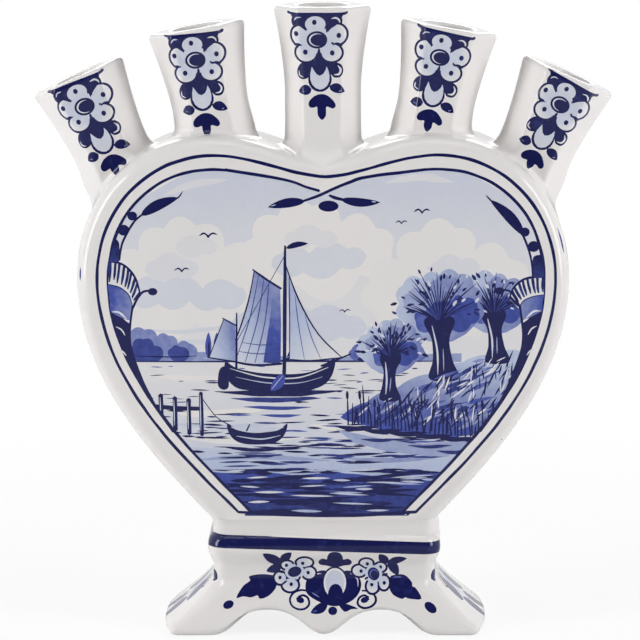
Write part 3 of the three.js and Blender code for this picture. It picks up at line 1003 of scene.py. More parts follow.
spoutOrnament = dict(
    lineWidth=0.72, rimLine=[(-9.3, 1.7), (-7.4, 2.05), (0, 2.1), (7.8, 2.0), (9.6, 1.5)], rimLineWidth=1.0,
    rimClear=0.3, flower=(0, 10.3), washDisc=(4.7, 4.35), ring=(3.3, 2.8), eyeCenter=(0.5, 10.35),
    eye=(2.55, 1.9), wash=0.19,
    petals=[(-0.5, 5.3, 3.6, 2.9), (-5.45, 8.9, 2.9, 3.4), (6.5, 8.5, 3.2, 3.45),
            (-3.45, 14.4, 3.55, 3.1), (4.6, 14.4, 3.55, 3.1)],
    seeds=[(-0.8, 4.7), (-6.6, 8.4), (6.9, 8.9), (-3.7, 14.2), (4.8, 14.5)],
    wedges=[[(-5.7, 5.7), (-3.3, 7.6), (-3.9, 4.6)],
            [(2.9, 8.2), (2.7, 4.2), (5.4, 4.7), (6.6, 5.3), (4.6, 6.6)],
            [(-1.2, 16.6), (-0.1, 14.8), (0.25, 13.7), (0.6, 14.8), (1.6, 16.6)]],
    ticks=[[(-7.1, 12.0), (-6.0, 11.8), (-4.9, 12.1)], [(7.9, 12.0), (6.5, 11.5), (5.0, 11.9)]],
    stemEnds=dict(spout_center=35.7, spout_near_left=34.9, spout_near_right=34.9,
                  spout_far_left=34.3, spout_far_right=34.0),
    drop=(0.85, 22.9, 3.75, 4.05),
    # where the painter set it on each spout: across, down, turned clockwise, size
    hands=dict(spout_far_left=(-0.72, 9.5, 2.6, 1.0), spout_near_left=(-1.27, 9.7, 4.9, 0.99),
               spout_center=(-1.56, 10.3, 0.0, 1.0), spout_near_right=(-1.63, 9.6, 3.5, 0.97),
               spout_far_right=(0.54, 9.4, 6.0, 0.955)),
)


petalLook = dict(points=26, washNear=0.62, washFar=0.93, paleTone=0.03)


def petalMarks(flower, petals, line, wash):
    # Outlined petals round the middle of a flower, washed there and left pale further out
    p = petalLook
    marks = []
    for x, y, across, up in petals:
        marks.append(oval((x, y), across + line / 2, up + line / 2, 0.97, points=p["points"]))
    for x, y, across, up in petals:
        reach = math.hypot(x - flower[0], y - flower[1]) + min(across, up)
        pale = halo(flower, reach * p["washNear"], reach * p["washFar"], wash, p["paleTone"])
        marks.append(oval((x, y), across - line / 2, up - line / 2, pale, points=p["points"]))
    return marks


def spoutMarks(spout):
    o = spoutOrnament
    line, dark, wash = o["lineWidth"], 0.97, o["wash"]
    end = o["stemEnds"][spout["node"]]
    marks = [
        blob([(-7.0, 2.2), (-7.9, 3.2), (-8.1, 4.8), (-7.4, 6.2), (-5.8, 6.9), (-3.9, 8.7), (-3.0, 8.0),
            (-2.0, 4.0), (2.4, 4.0), (3.0, 7.6), (3.9, 8.4), (5.4, 6.6), (7.0, 6.2), (8.0, 4.9), (7.9, 3.2),
            (6.9, 2.2)], dark),
        stroke([(-7.2, 4.2), (-6.4, 3.2), (-5.0, 3.1)], 0.42, 0.2, (0.3, 0.3)),
        stroke([(4.6, 3.5), (6.1, 3.3), (7.1, 4.1), (7.2, 5.2)], 0.5, 0.1, (0.3, 0.3)),
        stroke(o["rimLine"], o["rimLineWidth"], dark, (0.85, 0.95)),
    ]
    marks += petalMarks(o["flower"], o["petals"], line, wash)
    marks += [oval(seed, line * 1.05, line * 1.2, dark, points=12) for seed in o["seeds"]]
    x, y, across, up = o["petals"][0]
    marks += [
        oval((x, y), across - line / 2, up - line / 2, wash * 0.85), oval(o["seeds"][0], 0.72, 0.85, dark),
        oval(o["flower"], *o["washDisc"], wash),
    ]
    marks += [mark(wedge, dark) for wedge in o["wedges"]]
    marks += [stroke(tick, line, dark, (1, 0.5)) for tick in o["ticks"]]
    ringX, ringY = o["ring"]
    marks += [oval(o["flower"], ringX + 0.7, ringY + 0.7, wash),
              oval(o["flower"], ringX, ringY, dark),
              oval(o["flower"], ringX - line, ringY - line, 0.13),
              oval(o["eyeCenter"], *o["eye"], 1.0)]
    # drop and calyx, whose scallops leave two horns of the drop pale
    x, y, across, up = o["drop"]
    marks += [
        oval((x, y), across, up, dark),
        blob([(-5.9, 18.8), (-4.6, 17.5), (-2.2, 17.4), (-0.5, 16.6), (0.3, 13.4), (0.9, 13.3), (1.5, 16.4),
            (3.4, 17.5), (6.2, 17.5), (7.9, 18.6), (8.2, 20.6), (7.2, 22.2), (5.3, 22.3), (4.2, 21.2),
            (2.6, 20.6), (1.0, 21.0), (-0.6, 20.6), (-2.4, 21.0), (-2.8, 22.3), (-4.4, 22.9), (-5.9, 22.3),
            (-6.4, 20.6)], dark),
        mark(
            [(-1.7, 18.9), (-0.9, 20.3), (-0.2, 21.3), (0.8, 21.8), (1.9, 21.2), (2.6, 20.1), (3.0, 18.8),
                (3.6, 20.2), (3.9, 21.9), (3.8, 23.5), (3.1, 25.0), (2.0, 25.9), (0.8, 26.2), (-0.5, 25.7),
                (-1.6, 24.6), (-2.2, 23.0), (-2.2, 21.2)],
            fade((0, 19), (0, 25), 0.2, 0.14),
        ),
        stroke([(-5.7, 20.2), (-5.6, 21.6), (-4.4, 22.2)], 0.42, 0.14, (0.3, 0.3)),
        stroke([(6.6, 18.5), (7.4, 19.8), (6.9, 21.2), (5.4, 21.5)], 0.62, 0.06, (0.3, 0.3)),
    ]
    # two buds, and a last leaf on a thick stem
    marks += [
        leaf((-1.8, 26.0), (-5.9, 27.0), 3.3, dark, 0.05), leaf((3.8, 25.2), (8.7, 27.0), 3.1, dark, -0.06),
        stroke([(-5.0, 26.7), (-4.0, 26.9)], 0.3, 0.55, (0.4, 0.4)),
        stroke([(7.6, 26.5), (6.8, 26.8)], 0.3, 0.5, (0.4, 0.4)),
        blob([(-2.8, 30.9), (-2.4, 29.6), (-0.8, 28.2), (1.3, 27.6), (3.4, 28.2), (5.3, 30.0), (5.8, 31.4),
            (4.9, 32.2), (3.5, 31.7), (2.8, 31.8), (2.7, end - 1.4), (1.9, end - 0.2), (1.4, end),
            (0.9, end - 0.3), (0.1, end - 1.6), (-0.1, 31.7), (-1.2, 31.9), (-2.3, 31.8)], 1.0),
    ]
    across, down, clockwise, size = o["hands"][spout["node"]]
    cosine, sine = math.cos(math.radians(clockwise)), math.sin(math.radians(clockwise))
    top = spout["length"] - o["rimClear"]

    def forward(point):
        x, up = point[0] * size, (o["flower"][1] - point[1]) * size
        return across + x * cosine + up * sine, min(spout["length"] - down - x * sine + up * cosine, top)

    def back(point):
        x, up = point[0] - across, point[1] - spout["length"] + down
        return (x * cosine - up * sine) / size, o["flower"][1] - (x * sine + up * cosine) / size
    return placed(marks, forward, back)


# Borders of the panel, which follow the heart's outline at a distance

border = dict(
    shift=1.1, lineWidth=1.02, low=38.9, clear=1.4,
    outer=[(0.0, 3.9), (0.06, 5.0), (0.14, 5.8), (0.3, 5.8), (0.55, 5.6), (0.8, 6.4), (1.0, 7.4)],
    inner=[(0.0, 9.0), (0.12, 10.0), (0.2, 10.3), (0.4, 9.3), (0.6, 9.2), (0.8, 9.7), (1.0, 10.4)],
    crossing=0.16, overrun=14.0, steps=150, widestStep=60,
    # the thin line on the turn of either shoulder: side, upper end, how far down
    sideLine=1.2, sideLineRuns=((1, 131.0, 12.0), (-1, 119.0, 7.0)),
    rightSweep=[(14.5, 147.3), (8.8, 145.6), (3.6, 143.5)],
    leftSweep=[(-11.8, 146.4), (-5.1, 144.1), (-0.9, 142.9)],
)


def borderHalf(insets):
    # The right half of a line at a changing distance inside the outline, from the notch down past
    # the seat; the distances are given by the share of the way to the seat
    steps, widest = border["steps"], border["widestStep"]
    half = heartLoop(0.0, flask["seatHeight"] - border["overrun"], steps)[steps:]
    along = np.gradient(half, axis=0)
    along[0] = (1, 0)
    length = np.linalg.norm(along, axis=1)
    share = np.cumsum(length)
    share /= np.interp(-flask["seatHeight"], -half[widest:, 1], share[widest:])
    inset = np.interp(share, *zip(*insets))[:, None]
    return half + np.stack([along[:, 1], -along[:, 0]], axis=1) / length[:, None] * inset


def borderPoints(insets, side, top=0.0, every=1):
    # The line on one side (1 right, -1 left), down to the bottom line
    kept = [(side * x + border["shift"], z) for x, z in borderHalf(insets) if z > border["low"]]
    kept = kept[int(len(kept) * top):]
    return kept[::every] + ([kept[-1]] if (len(kept) - 1) % every else [])


def bareMarks():
    # Bare glaze between the picture and the edge
    b = border
    marks = []
    for side, sweep in ((1, b["rightSweep"]), (-1, b["leftSweep"])):
        rim = [(side * x, z) for x, z in borderHalf([(0, b["clear"]),
            (1, b["clear"])])[::-6] if z > b["low"] - 1]
        marks.append(mark([(0.6, 142.2)] + sweep[::-1] + borderPoints(b["inner"], side, b["crossing"])
                          + [(side * 26, b["low"] - 0.4)] + rim[1:] + [(b["shift"], rim[-1][1])], 0.0))
    return marks


def lineMarks(crossing):
    # The border's two lines, its bottom line and a thin broken line down the turn of either shoulder
    b = border
    low, width, ends = b["low"], b["lineWidth"], (0.9, 0.9)
    outer = borderPoints(b["outer"], -1, every=3)[::-1] + borderPoints(b["outer"], 1, every=3)[1:]
    marks = [stroke(outer, width, 0.97, ends, steps=3)]
    for side in (1, -1):
        marks.append(stroke(borderPoints(b["inner"], side, crossing, 3), width, 0.97, ends, steps=3))
    marks.append(stroke([outer[0], (-10, low - 0.2), (12, low - 0.3), outer[-1]], 1.2, 1.0, (0.8, 0.8)))
    for side, high, reach in b["sideLineRuns"]:
        turn = [(side * x, z) for x, z in borderHalf([(0, b["sideLine"]),
            (1, b["sideLine"])]) if high - reach < z < high]
        marks.append(stroke(turn[::3], 0.5, 0.8, (0.2, 0.2), steps=3))
    return marks


def crossingMarks():
    # The two inner lines cross under the notch and end in leaves, over a dot
    b = border
    right = borderPoints(b["inner"], 1, b["crossing"])[0]
    left = borderPoints(b["inner"], -1, b["crossing"])[0]
    return [
        stroke([right, *b["rightSweep"], (-0.8, 141.5), (-6.0, 139.6)], 1.05, 0.97, (1, 0.8)),
        stroke([left, *b["leftSweep"]], 1.0, 0.97, (1, 0.85)),
        stroke([(2.3, 141.4), (4.6, 140.5), (7.0, 139.9)], 1.0, 0.97, (0.7, 1)),
        leaf((-5.2, 139.6), (-17.2, 137.7), 3.0, 1.0, -0.03),
        leaf((5.8, 140.1), (18.4, 139.2), 2.8, 1.0, -0.04),
        stroke([(-16.2, 138.1), (-14.6, 138.5)], 0.28, 0.25, (0.3, 0.3)),
        stroke([(15.6, 139.4), (17.0, 139.3)], 0.28, 0.25, (0.3, 0.3)), oval((2.0, 138.0), 3.2, 1.75, 1.0),
    ]


sideOrnaments = {-1: dict(combTop=120.4, combLow=113.2, top=[(-64.2, 120.0), (-61.4, 118.2), (-59.1, 114.8),
    (-57.7, 109.6)], low=[(-64.3, 112.2), (-61.5, 109.9), (-60.3, 106.8)], block=(127.2, 121.6), lift=0.0,
    stem=[(-64.2, 121.0), (-63.9, 123.4), (-63.2, 126.4), (-61.8, 129.4), (-60.5, 131.7), (-58.9, 133.8),
    (-56.2, 135.9)], dots=((-62.8, 130.5), (-60.0, 135.0)), leaf=((-57.4, 135.1), (-45.2, 140.9)),
    tail=[(-46.8, 140.1), (-45.1, 141.1), (-44.0, 142.9)]), 1: dict(combTop=115.2, combLow=109.6,
    top=[(-64.2, 115.2), (-61.0, 114.3), (-58.2, 111.8), (-56.8, 108.4)], low=[(-64.3, 109.0),
    (-61.3, 107.6), (-59.9, 105.2)], block=(121.8, 116.4), lift=-5.4, stem=[(-64.3, 115.6), (-64.0, 119.0),
    (-63.2, 123.0), (-61.8, 127.0), (-60.4, 130.0)], dots=((-64.5, 125.0), (-61.7, 129.6)),
    leaf=((-61.6, 128.4), (-50.6, 140.0)), tail=[(-51.8, 138.8), (-49.4, 141.4)]),}


def sideOrnament(side):
    # Leaf, dots, comb and tapering scroll inside the border, written for the left side
    s = sideOrnaments[side]
    beyondLobe = 40
    edge = borderHalf(border["inner"])[beyondLobe:]

    def edgeAt(z):
        return -float(np.interp(-z, -edge[:, 1], edge[:, 0])) + border["shift"]

    contour = [(-60.2, 106.4), (-61.0, 100.5), (-61.3, 96.0), (-60.6, 91.2), (-57.8, 83.2), (-53.3, 73.8),
        (-47.8, 65.6)]
    scroll = [(edgeAt(z) + 0.1, z) for z in np.linspace(62.5, 104.5, 14)]
    crest = [(-66.9, 104.0), (-64.5, 103.6), (-62.4, 101.4)]
    marks = [mark(smoothLine(contour, 5)[5:] + [(-44.6, 61.0)] + scroll[:-1] + crest, 0.99)]
    rise = [(edgeAt(z), z) for z in np.linspace(104.3, s["combLow"], 5)]
    marks.append(blob([(-62.3, 101.9), *rise, *s["low"], (-60.9, 102.4)], fade((-68, 108), (-60, 106), 0.66,
        0.50), steps=3))
    for line, width in (
        ([(-66.8, 104.4), (-64.6, 104.2), (-62.2, 102.2)], 0.7),
        ([(-65.6, 99.6), (-63.9, 98.6), (-62.8, 96.8)], 0.5),
        ([(-64.6, 92.2), (-63.4, 91.4), (-62.5, 90.2)], 0.45),
    ):
        marks.append(stroke(line, width, 0.08, (0.3, 0.3)))
    # comb: pale ground, the ribs and the two arcs that hold them
    top = [(edgeAt(s["combTop"]), s["combTop"]), *s["top"]]
    low = [(edgeAt(s["combLow"]), s["combLow"]), *s["low"]]
    marks.append(mark(smoothLine(top, 5) + smoothLine(low, 5)[::-1], 0.08))
    topLine, lowLine = np.array(smoothLine(top, 8)), np.array(smoothLine(low, 8))
    ribs = 9
    for k in range(ribs):
        share = (k + 0.5) / ribs
        outside = topLine[int(share * (len(topLine) - 1))]
        inside = lowLine[int(share * (len(lowLine) - 1))]
        inside = outside + (inside - outside) * hand.uniform(0.74, 0.92)
        marks.append(stroke([outside, (outside + inside) / 2 + (0.12, 0), inside], 0.85, 0.9, (1, 0.45),
            steps=3))
    marks += [
        stroke(top, 0.75, 0.97, (0.9, 0.7)),
        stroke([(x + 0.15, z + 0.4) for x, z in low], 0.75, 0.03, (0.8, 0.4)),
        stroke(low, 0.35, 0.9, (0.8, 0.6)), stroke(contour, 0.8, 0.97, (0.8, 0.9)),
        stroke([(-60.2, 105.6), (-58.7, 108.7), (-56.9, 110.8), (-54.6, 111.2)], 0.8, 0.97, (0.9, 0.8)),
        oval((-53.8, 110.9), 1.5, 1.2, 1.0),
    ]
    # block, two dots and the long leaf above
    lift, blockTop, blockLow = s["lift"], *s["block"]
    block = [(edgeAt(z), z) for z in (s["combTop"], blockLow, blockTop)]
    marks += [
        blob(
            [*block, (-64.9, blockTop + 0.2), (-64.2, blockTop - 1.2), (-64.2, blockLow + 0.8),
                (-64.5, s["combTop"])],
            fade((-66, 128 + lift), (-66, 120 + lift), 0.99, 0.82), steps=3,
        ),
        oval(s["dots"][0], 1.85, 1.75, 0.97), oval(s["dots"][1], 1.55, 1.45, 0.97),
        stroke(s["stem"], 0.75, 0.97, (0.8, 0.9)), leaf(*s["leaf"], 3.4, 1.0, 0.05),
        stroke(s["tail"], 0.5, 0.97, (0.9, 0.4)),
    ]
    if side < 0:
        return marks

    def flip(point):
        return 2 * border["shift"] - point[0], point[1]
    return placed(marks, flip, flip)


# River view in the panel: clouds, a two-masted sailing boat, far sails, a landing stage and a bank
# of reeds with pollard willows. Water grows darker towards the bottom.

view = dict(
    horizon=89.0, shoreLow=88.2, deepest=39.2,
    boat=(-14.0, 80.0, 1.02),      # across, up, size
    willows=((55.0, 89.0, 30, 8), (38.0, 83.6, 37, 3), (21.0, 77.0, 26, 5)),      # across, up, height, seed
    reeds=46, reedHeights=(5.0, 9.5),
)


def skyMarks():
    v = view
    marks = [mark([(-70, v["horizon"]), (70, v["horizon"]), (71, 120), (64, 138), (44, 150), (22, 150),
        (2, 144), (-20, 150), (-42, 149), (-62, 138), (-69, 120)], fade((0, 112), (0, 146), 0.05, 0.17))]
    # rolling clouds left white, their undersides washed in
    marks += [
        puffs([(-66, 104), (-40, 101), (-19, 105), (-14, 112), (-20, 120), (-31, 125), (-40, 132),
            (-50, 131), (-58, 124), (-66, 118)], 0.01),
        puffs([(-24, 118), (-8, 113), (12, 116), (22, 124), (17, 131), (6, 133), (-3, 138), (-14, 135),
            (-22, 128)], 0.0),
        puffs([(16, 104), (38, 101), (58, 105), (64, 112), (59, 121), (48, 124), (42, 131), (31, 130),
            (24, 121), (15, 114)], 0.01),
        stroke([(-50, 141.5), (-41, 145.0), (-30, 146.4)], 2.2, 0.08, (0.2, 0.2)),
        stroke([(20, 145.4), (31, 147.0), (41, 145.6)], 2.4, 0.07, (0.2, 0.2)),
    ]
    for line, tone in (
        ([(-62, 109), (-52, 107), (-42, 108), (-33, 106), (-24, 109), (-27, 112.5), (-38, 112), (-50, 114),
            (-60, 113)], 0.13),
        ([(-56, 117), (-47, 116), (-39, 118), (-43, 121), (-53, 121)], 0.08),
        ([(-46, 124), (-38, 123), (-33, 125), (-38, 127.5), (-45, 127)], 0.06),
        ([(-16, 119), (-6, 117), (6, 118.5), (14, 122), (8, 124.5), (-4, 123), (-13, 123)], 0.12),
        ([(-12, 127), (-3, 126), (5, 127.5), (0, 130), (-9, 130)], 0.06),
        ([(24, 107), (36, 105), (48, 106.5), (57, 110), (50, 113), (38, 112), (27, 111.5)], 0.15),
        ([(34, 117), (44, 116), (50, 118.5), (44, 121), (36, 120.5)], 0.09),
        ([(-30, 99.5), (-18, 97), (-6, 98.5), (6, 96.5), (14, 99), (8, 103), (-4, 104.5), (-18, 103.5)],
            0.15),
    ):
        marks.append(puffs(line, tone, 0.24))
    for line in ([(-60, 99), (-46, 98), (-30, 99.2), (-14, 98.4)], [(-52, 95.2), (-34, 94.6), (-18, 95.4)],
                 [(8, 99.6), (24, 98.8), (40, 99.8)], [(14, 95.6), (28, 95.0)]):
        marks.append(stroke(line, 1.5, 0.12, (0.1, 0.1)))
    return marks


def gull(x, z, size, tone=0.95):
    wing = [stroke([(x, z), (x + side * size * 0.45, z + size * 0.36), (x + side * size, z + size * lift)],
        size * 0.2, tone, (0.9, 0.2), 4) for side, lift in ((1, 0.22), (-1, 0.05))]
    return wing + [oval((x, z - size * 0.03), size * 0.15, size * 0.12, tone, points=8)]


def farMarks():
    # Low shore with trees, and two far sails
    v = view
    low = v["shoreLow"]
    marks = [
        mark([(-66, low), (-66, 91.0), (-58, 91.8), (-49, 91.2), (-38, 91.6), (-27, 90.6), (-12, 90.2),
            (8, 90.0), (26, 90.6), (44, 91.0), (44, low)], 0.45),
        puffs([(-63, 90), (-63.5, 94.6), (-61, 98), (-56.5, 98.6), (-52.5, 96.6), (-49, 96.8), (-46, 94.2),
            (-42.5, 94.4), (-40, 90)], 0.52, 0.26),
        puffs([(-60.5, 90), (-60.5, 93.4), (-57, 95.6), (-53.6, 93.6), (-50.8, 90)], 0.75, 0.3),
        puffs([(-48.8, 90), (-48, 92.8), (-45.4, 93.2), (-42.4, 90)], 0.75, 0.3),
    ]
    for x in (-36.4, -33.8, -31.4, -28.8):
        marks.append(leaf((x, 89.6), (x + 0.2, 98.6 + hand.uniform(-1.3, 1.0)), 2.0, 0.66))
        marks.append(stroke([(x + 0.25, 90), (x + 0.3, 95.2)], 0.5, 0.95, (0.9, 0.3), 3))
    marks += [
        puffs([(8.5, 90), (9, 92.2), (13, 93.6), (16, 92.0), (22, 92.6), (26, 94.0), (29, 92.4), (33, 90)],
            0.6, 0.26),
        stroke([(-65, low + 0.3), (-40, low + 0.1), (-14, low + 0.4), (10, low + 0.2), (40, low + 0.3)],
            0.7, 0.95, (0.4, 0.3)),
        stroke([(-60, 90.2), (-48, 89.9), (-40, 90.3)], 0.45, 0.95, (0.3, 0.3)),
        stroke([(-38, 89.6), (-30, 89.5), (-22, 89.8)], 0.35, 0.1, (0.3, 0.3)),
    ]
    for x, z, size in ((15.5, 88.4, 0.34), (-9.0, 88.7, 0.22)):
        marks += [
            leaf((x - 14 * size, z + 2 * size), (x + 15 * size, z + 3 * size), 7 * size, 0.97, 0.02),
            mark([(x - 11 * size, z + 6 * size), (x + 1.0 * size, z + 34 * size),
                (x + 1.2 * size, z + 6 * size)], 0.92),
            mark([(x + 2.4 * size, z + 6 * size), (x + 2.2 * size, z + 31 * size),
                (x + 13 * size, z + 7 * size)], 0.62),
            stroke([(x - 9 * size, z - 3 * size), (x + 8 * size, z - 4 * size)], 2.4 * size, 0.9,
                (0.2, 0.2), 3),
            stroke([(x - 5 * size, z - 8 * size), (x + 5 * size, z - 9 * size)], 1.8 * size, 0.7,
                (0.2, 0.2), 3),
        ]
    for x, z, size in ((-44.5, 117.5, 2.4), (-36.0, 128.5, 2.9), (31.5, 136.0, 2.6), (25.0, 132.6, 1.9),
        (7.0, 104.4, 1.8)):
        marks += gull(x, z, size)
    return marks


def waterMarks():
    v = view
    low, high = v["deepest"] - 0.9, v["shoreLow"]
    marks = [
        mark(
            [(-63, high), (62, high), (59, 76), (52, 66), (42, 54), (34, 45), (27, low), (-25, low),
                (-32, 45), (-40, 54), (-50, 66), (-58, 76)],
            fade((0, 84), (0, 54), 0.05, 0.2),
        ),
        mark(
            [(-47, 61), (-30, 60.0), (-10, 61.4), (14, 60.2), (34, 61.2), (49, 60.4), (40, 50), (27, low),
                (-25, low), (-38, 50)],
            fade((0, 62), (0, 50), 0.22, 0.36),
        ),
        mark(
            [(-40, 53.4), (-31, 52.2), (-20, 53.0), (-9, 51.6), (4, 52.8), (16, 51.4), (28, 52.8),
                (41, 51.8), (34, 45), (27, low), (-25, low), (-32, 45)],
            fade((0, 53), (0, low), 0.66, 0.86),
        ),
    ]
    # light left on the water, and the darker lanes between
    for line, width, tone in (
        ([(-56, 84), (-40, 83), (-22, 84)], 1.6, 0.0), ([(-52, 73), (-38, 71.5), (-18, 73)], 2.4, 0.0),
        ([(-4, 68), (10, 66.6), (20, 68)], 2.0, 0.0), ([(-46, 64), (-28, 62.8), (-6, 64)], 2.2, 0.02),
        ([(-50, 68.4), (-32, 67.4), (-12, 68.6)], 1.3, 0.22),
        ([(2, 63.2), (18, 62.2), (34, 63.4)], 1.8, 0.3), ([(-42, 56.4), (-22, 57.6), (2, 56.4)], 1.5, 0.42),
        ([(6, 72.4), (16, 71.6), (26, 72.4)], 1.4, 0.26), ([(6, 57.4), (20, 56.4), (40, 57.8)], 1.5, 0.46),
        ([(-34, 47.6), (-16, 48.6), (2, 47.4)], 1.2, 1.0), ([(0, 45.0), (14, 46.0), (30, 44.6)], 1.3, 1.0),
        ([(-28, 42.6), (-8, 43.2), (10, 42.2)], 1.2, 1.0),
    ):
        marks.append(stroke(line, width, tone, (0.15, 0.15)))

    def inWater(x, z):
        return -26 - 0.92 * (z - 40) < x < 27 + 0.92 * (z - 40) and low + 0.4 < z < high - 0.6
    for patch, tones in (
        (dict(across=112, up=26, center=(-2, 74), count=150, lengths=(8.5, 3.0), widths=(0.62, 0.36),
            turn=0, spread=4, seed=4), [0.62, 0.85, 0.95, 0.97]),
        (dict(across=92, up=12, center=(1, 58), count=70, lengths=(13, 9), widths=(0.8, 0.6), turn=0,
            spread=3, seed=31), [0.95, 0.97, 0.8]),
        (dict(across=86, up=15, center=(1, 46), count=120, lengths=(17, 11), widths=(1.5, 1.0), turn=0,
            spread=3, seed=9), [0.97, 1.0, 0.9]),
        (dict(across=82, up=14, center=(1, 47), count=46, lengths=(11, 9), widths=(0.75, 0.55), turn=0,
            spread=4, seed=15), [0.1, 0.24, 0.34]),
    ):
        marks += scatteredMarks(patch, tones, inWater)
    return marks


def boatMarks():
    # Seen from the side, bow to the right, measured from the middle of the waterline
    dark = 0.97
    marks = [stroke([(-20, -1.2), (-6, -1.8), (9, -1.6), (20, -0.9)], 1.9, 0.95, (0.1, 0.1)),
             stroke([(-15, -3.4), (-2, -3.9), (13, -3.3)], 1.5, 0.8, (0.1, 0.1)),
             stroke([(-11, -6.0), (1, -6.5), (10, -6.1)], 1.2, 0.7, (0.1, 0.1)),
             stroke([(-6, -8.6), (2, -8.9), (7, -8.6)], 0.9, 0.66, (0.1, 0.1))]
    sail = [(0.6, 7.4), (0.8, 20), (0.6, 31.0), (-3.2, 33.6), (-7.4, 36.8), (-9.4, 27), (-12.6, 17),
        (-16.4, 8.8), (-8, 7.2)]
    marks += [
        mark(sail, fade((0, 20), (-14, 14), 0.5, 0.16)),
        mark(
            [(0.6, 7.4), (0.8, 20), (0.6, 31.0), (-1.6, 32.5), (-2.6, 22), (-4.8, 8.0)],
            fade((0, 30), (-3, 8), 0.5, 0.75),
        ),
    ]
    for top, low in (((-2.8, 33.4), (-7.4, 7.9)), ((-4.4, 34.6), (-10.4, 8.2)), ((-6.0, 35.8), (-13.4, 8.6))):
        marks.append(stroke([top, ((top[0] + low[0]) / 2 + 0.9, (top[1] + low[1]) / 2), low], 0.34, 0.75,
            (0.6, 0.6), 4))
    for height, reach in ((11.2, -12.6), (14.0, -11.2)):
        marks.append(stroke([(0.4, height), (reach / 2, height - 0.5), (reach, height + 0.3)], 0.3, 0.75,
            (0.5, 0.5), 4))
    marks += [stroke([(0.9, 31.2), (-3.4, 33.9), (-7.9, 37.2)], 0.75, dark, (0.9, 0.6), 4),
              stroke([(1.0, 7.6), (-8, 7.2), (-17.2, 9.0)], 0.7, dark, (0.9, 0.6), 4),
              stroke([(-7.4, 36.8), (-9.4, 27), (-12.6, 17), (-16.4, 8.8)], 0.45, dark, (0.7, 0.7), 4)]
    jib = [(2.3, 38.6), (6.4, 27.5), (12.4, 16.8), (19.4, 9.6), (10, 8.6), (3.4, 9.0), (3.6, 22)]
    marks += [
        mark(jib, fade((4, 20), (15, 12), 0.34, 0.06)),
        stroke([(2.3, 38.6), (6.4, 27.5), (12.4, 16.8), (19.6, 9.5)], 0.5, dark, (0.7, 0.7), 4),
        stroke([(3.4, 36), (3.5, 22), (3.4, 9.2)], 0.35, 0.9, (0.6, 0.6), 4),
        stroke([(3.6, 9.0), (10, 8.5), (19.4, 9.5)], 0.45, dark, (0.7, 0.7), 4),
        stroke([(5.2, 29), (6.2, 20), (8.0, 8.9)], 0.3, 0.7, (0.5, 0.5), 4),
        stroke([(8.2, 23), (10.2, 16), (13.0, 9.2)], 0.3, 0.7, (0.5, 0.5), 4),
        stroke([(1.7, 3.6), (2.0, 24), (2.2, 44.6)], 1.15, dark, (1, 0.5), 4),
        stroke([(2.2, 41.8), (-16.4, 8.6)], 0.26, 0.85, (1, 1), 1),
        leaf((2.4, 43.8), (9.4, 45.3), 1.8, dark, 0.06),
        stroke([(13.2, 6.8), (22.4, 10.6)], 0.7, dark, (1, 0.6), 2),
    ]
    # mizzen
    marks += [
        mark(
            [(-13.6, 8.2), (-13.4, 19.4), (-17.0, 21.6), (-21.6, 9.8)],
            fade((-13, 14), (-21, 12), 0.55, 0.2),
        ),
        stroke([(-13.2, 5.0), (-13.0, 23.6)], 0.7, dark, (1, 0.6), 2),
        stroke([(-13.2, 19.6), (-17.4, 22.0)], 0.5, dark, (0.9, 0.7), 2),
        stroke([(-13.4, 8.2), (-22.2, 9.6)], 0.5, dark, (0.9, 0.7), 2),
        stroke([(-17.0, 21.6), (-21.6, 9.8)], 0.34, dark, (0.8, 0.8), 2),
    ]
    # hull with its light strake, leeboard and rudder
    marks += [
        blob([(-16.6, 8.2), (-13, 6.2), (-5, 4.6), (6, 4.4), (12.6, 6.0), (17.4, 9.2), (16.6, 4.0),
            (13.2, 0.4), (7, -0.8), (-7, -0.9), (-13.2, 0.0), (-16.4, 3.6)], 1.0),
        stroke([(-15.2, 6.1), (-5, 3.4), (6, 3.2), (15.4, 6.4)], 0.45, 0.1, (0.3, 0.3)),
        stroke([(-13.4, 3.4), (-4, 1.6), (6, 1.5), (13.6, 3.4)], 0.3, 0.3, (0.3, 0.3)),
        leaf((1.6, 4.2), (-2.6, -1.0), 3.4, 0.66, 0.05),
        stroke([(1.2, 3.8), (-2.2, -0.4)], 0.25, 0.2, (0.4, 0.4), 2),
        blob([(-16.2, 6.4), (-18.4, 5.8), (-19.0, 1.0), (-17.4, -0.6), (-15.6, 0.6)], 0.97),
    ]
    return marks


willow = dict(
    lean=0.06, headHeight=0.46, reach=0.36, trunk=0.085, crownPoints=9, shoots=24, leaves=46,
    # lighter and darker masses in the crown: across, up, size, tone
    masses=((0.42, 0.25, 0.52, 0.7), (-0.1, 0.1, 0.46, 0.62), (-0.5, 0.55, 0.34, 0.42),
            (0.15, 0.85, 0.36, 0.5)),
)


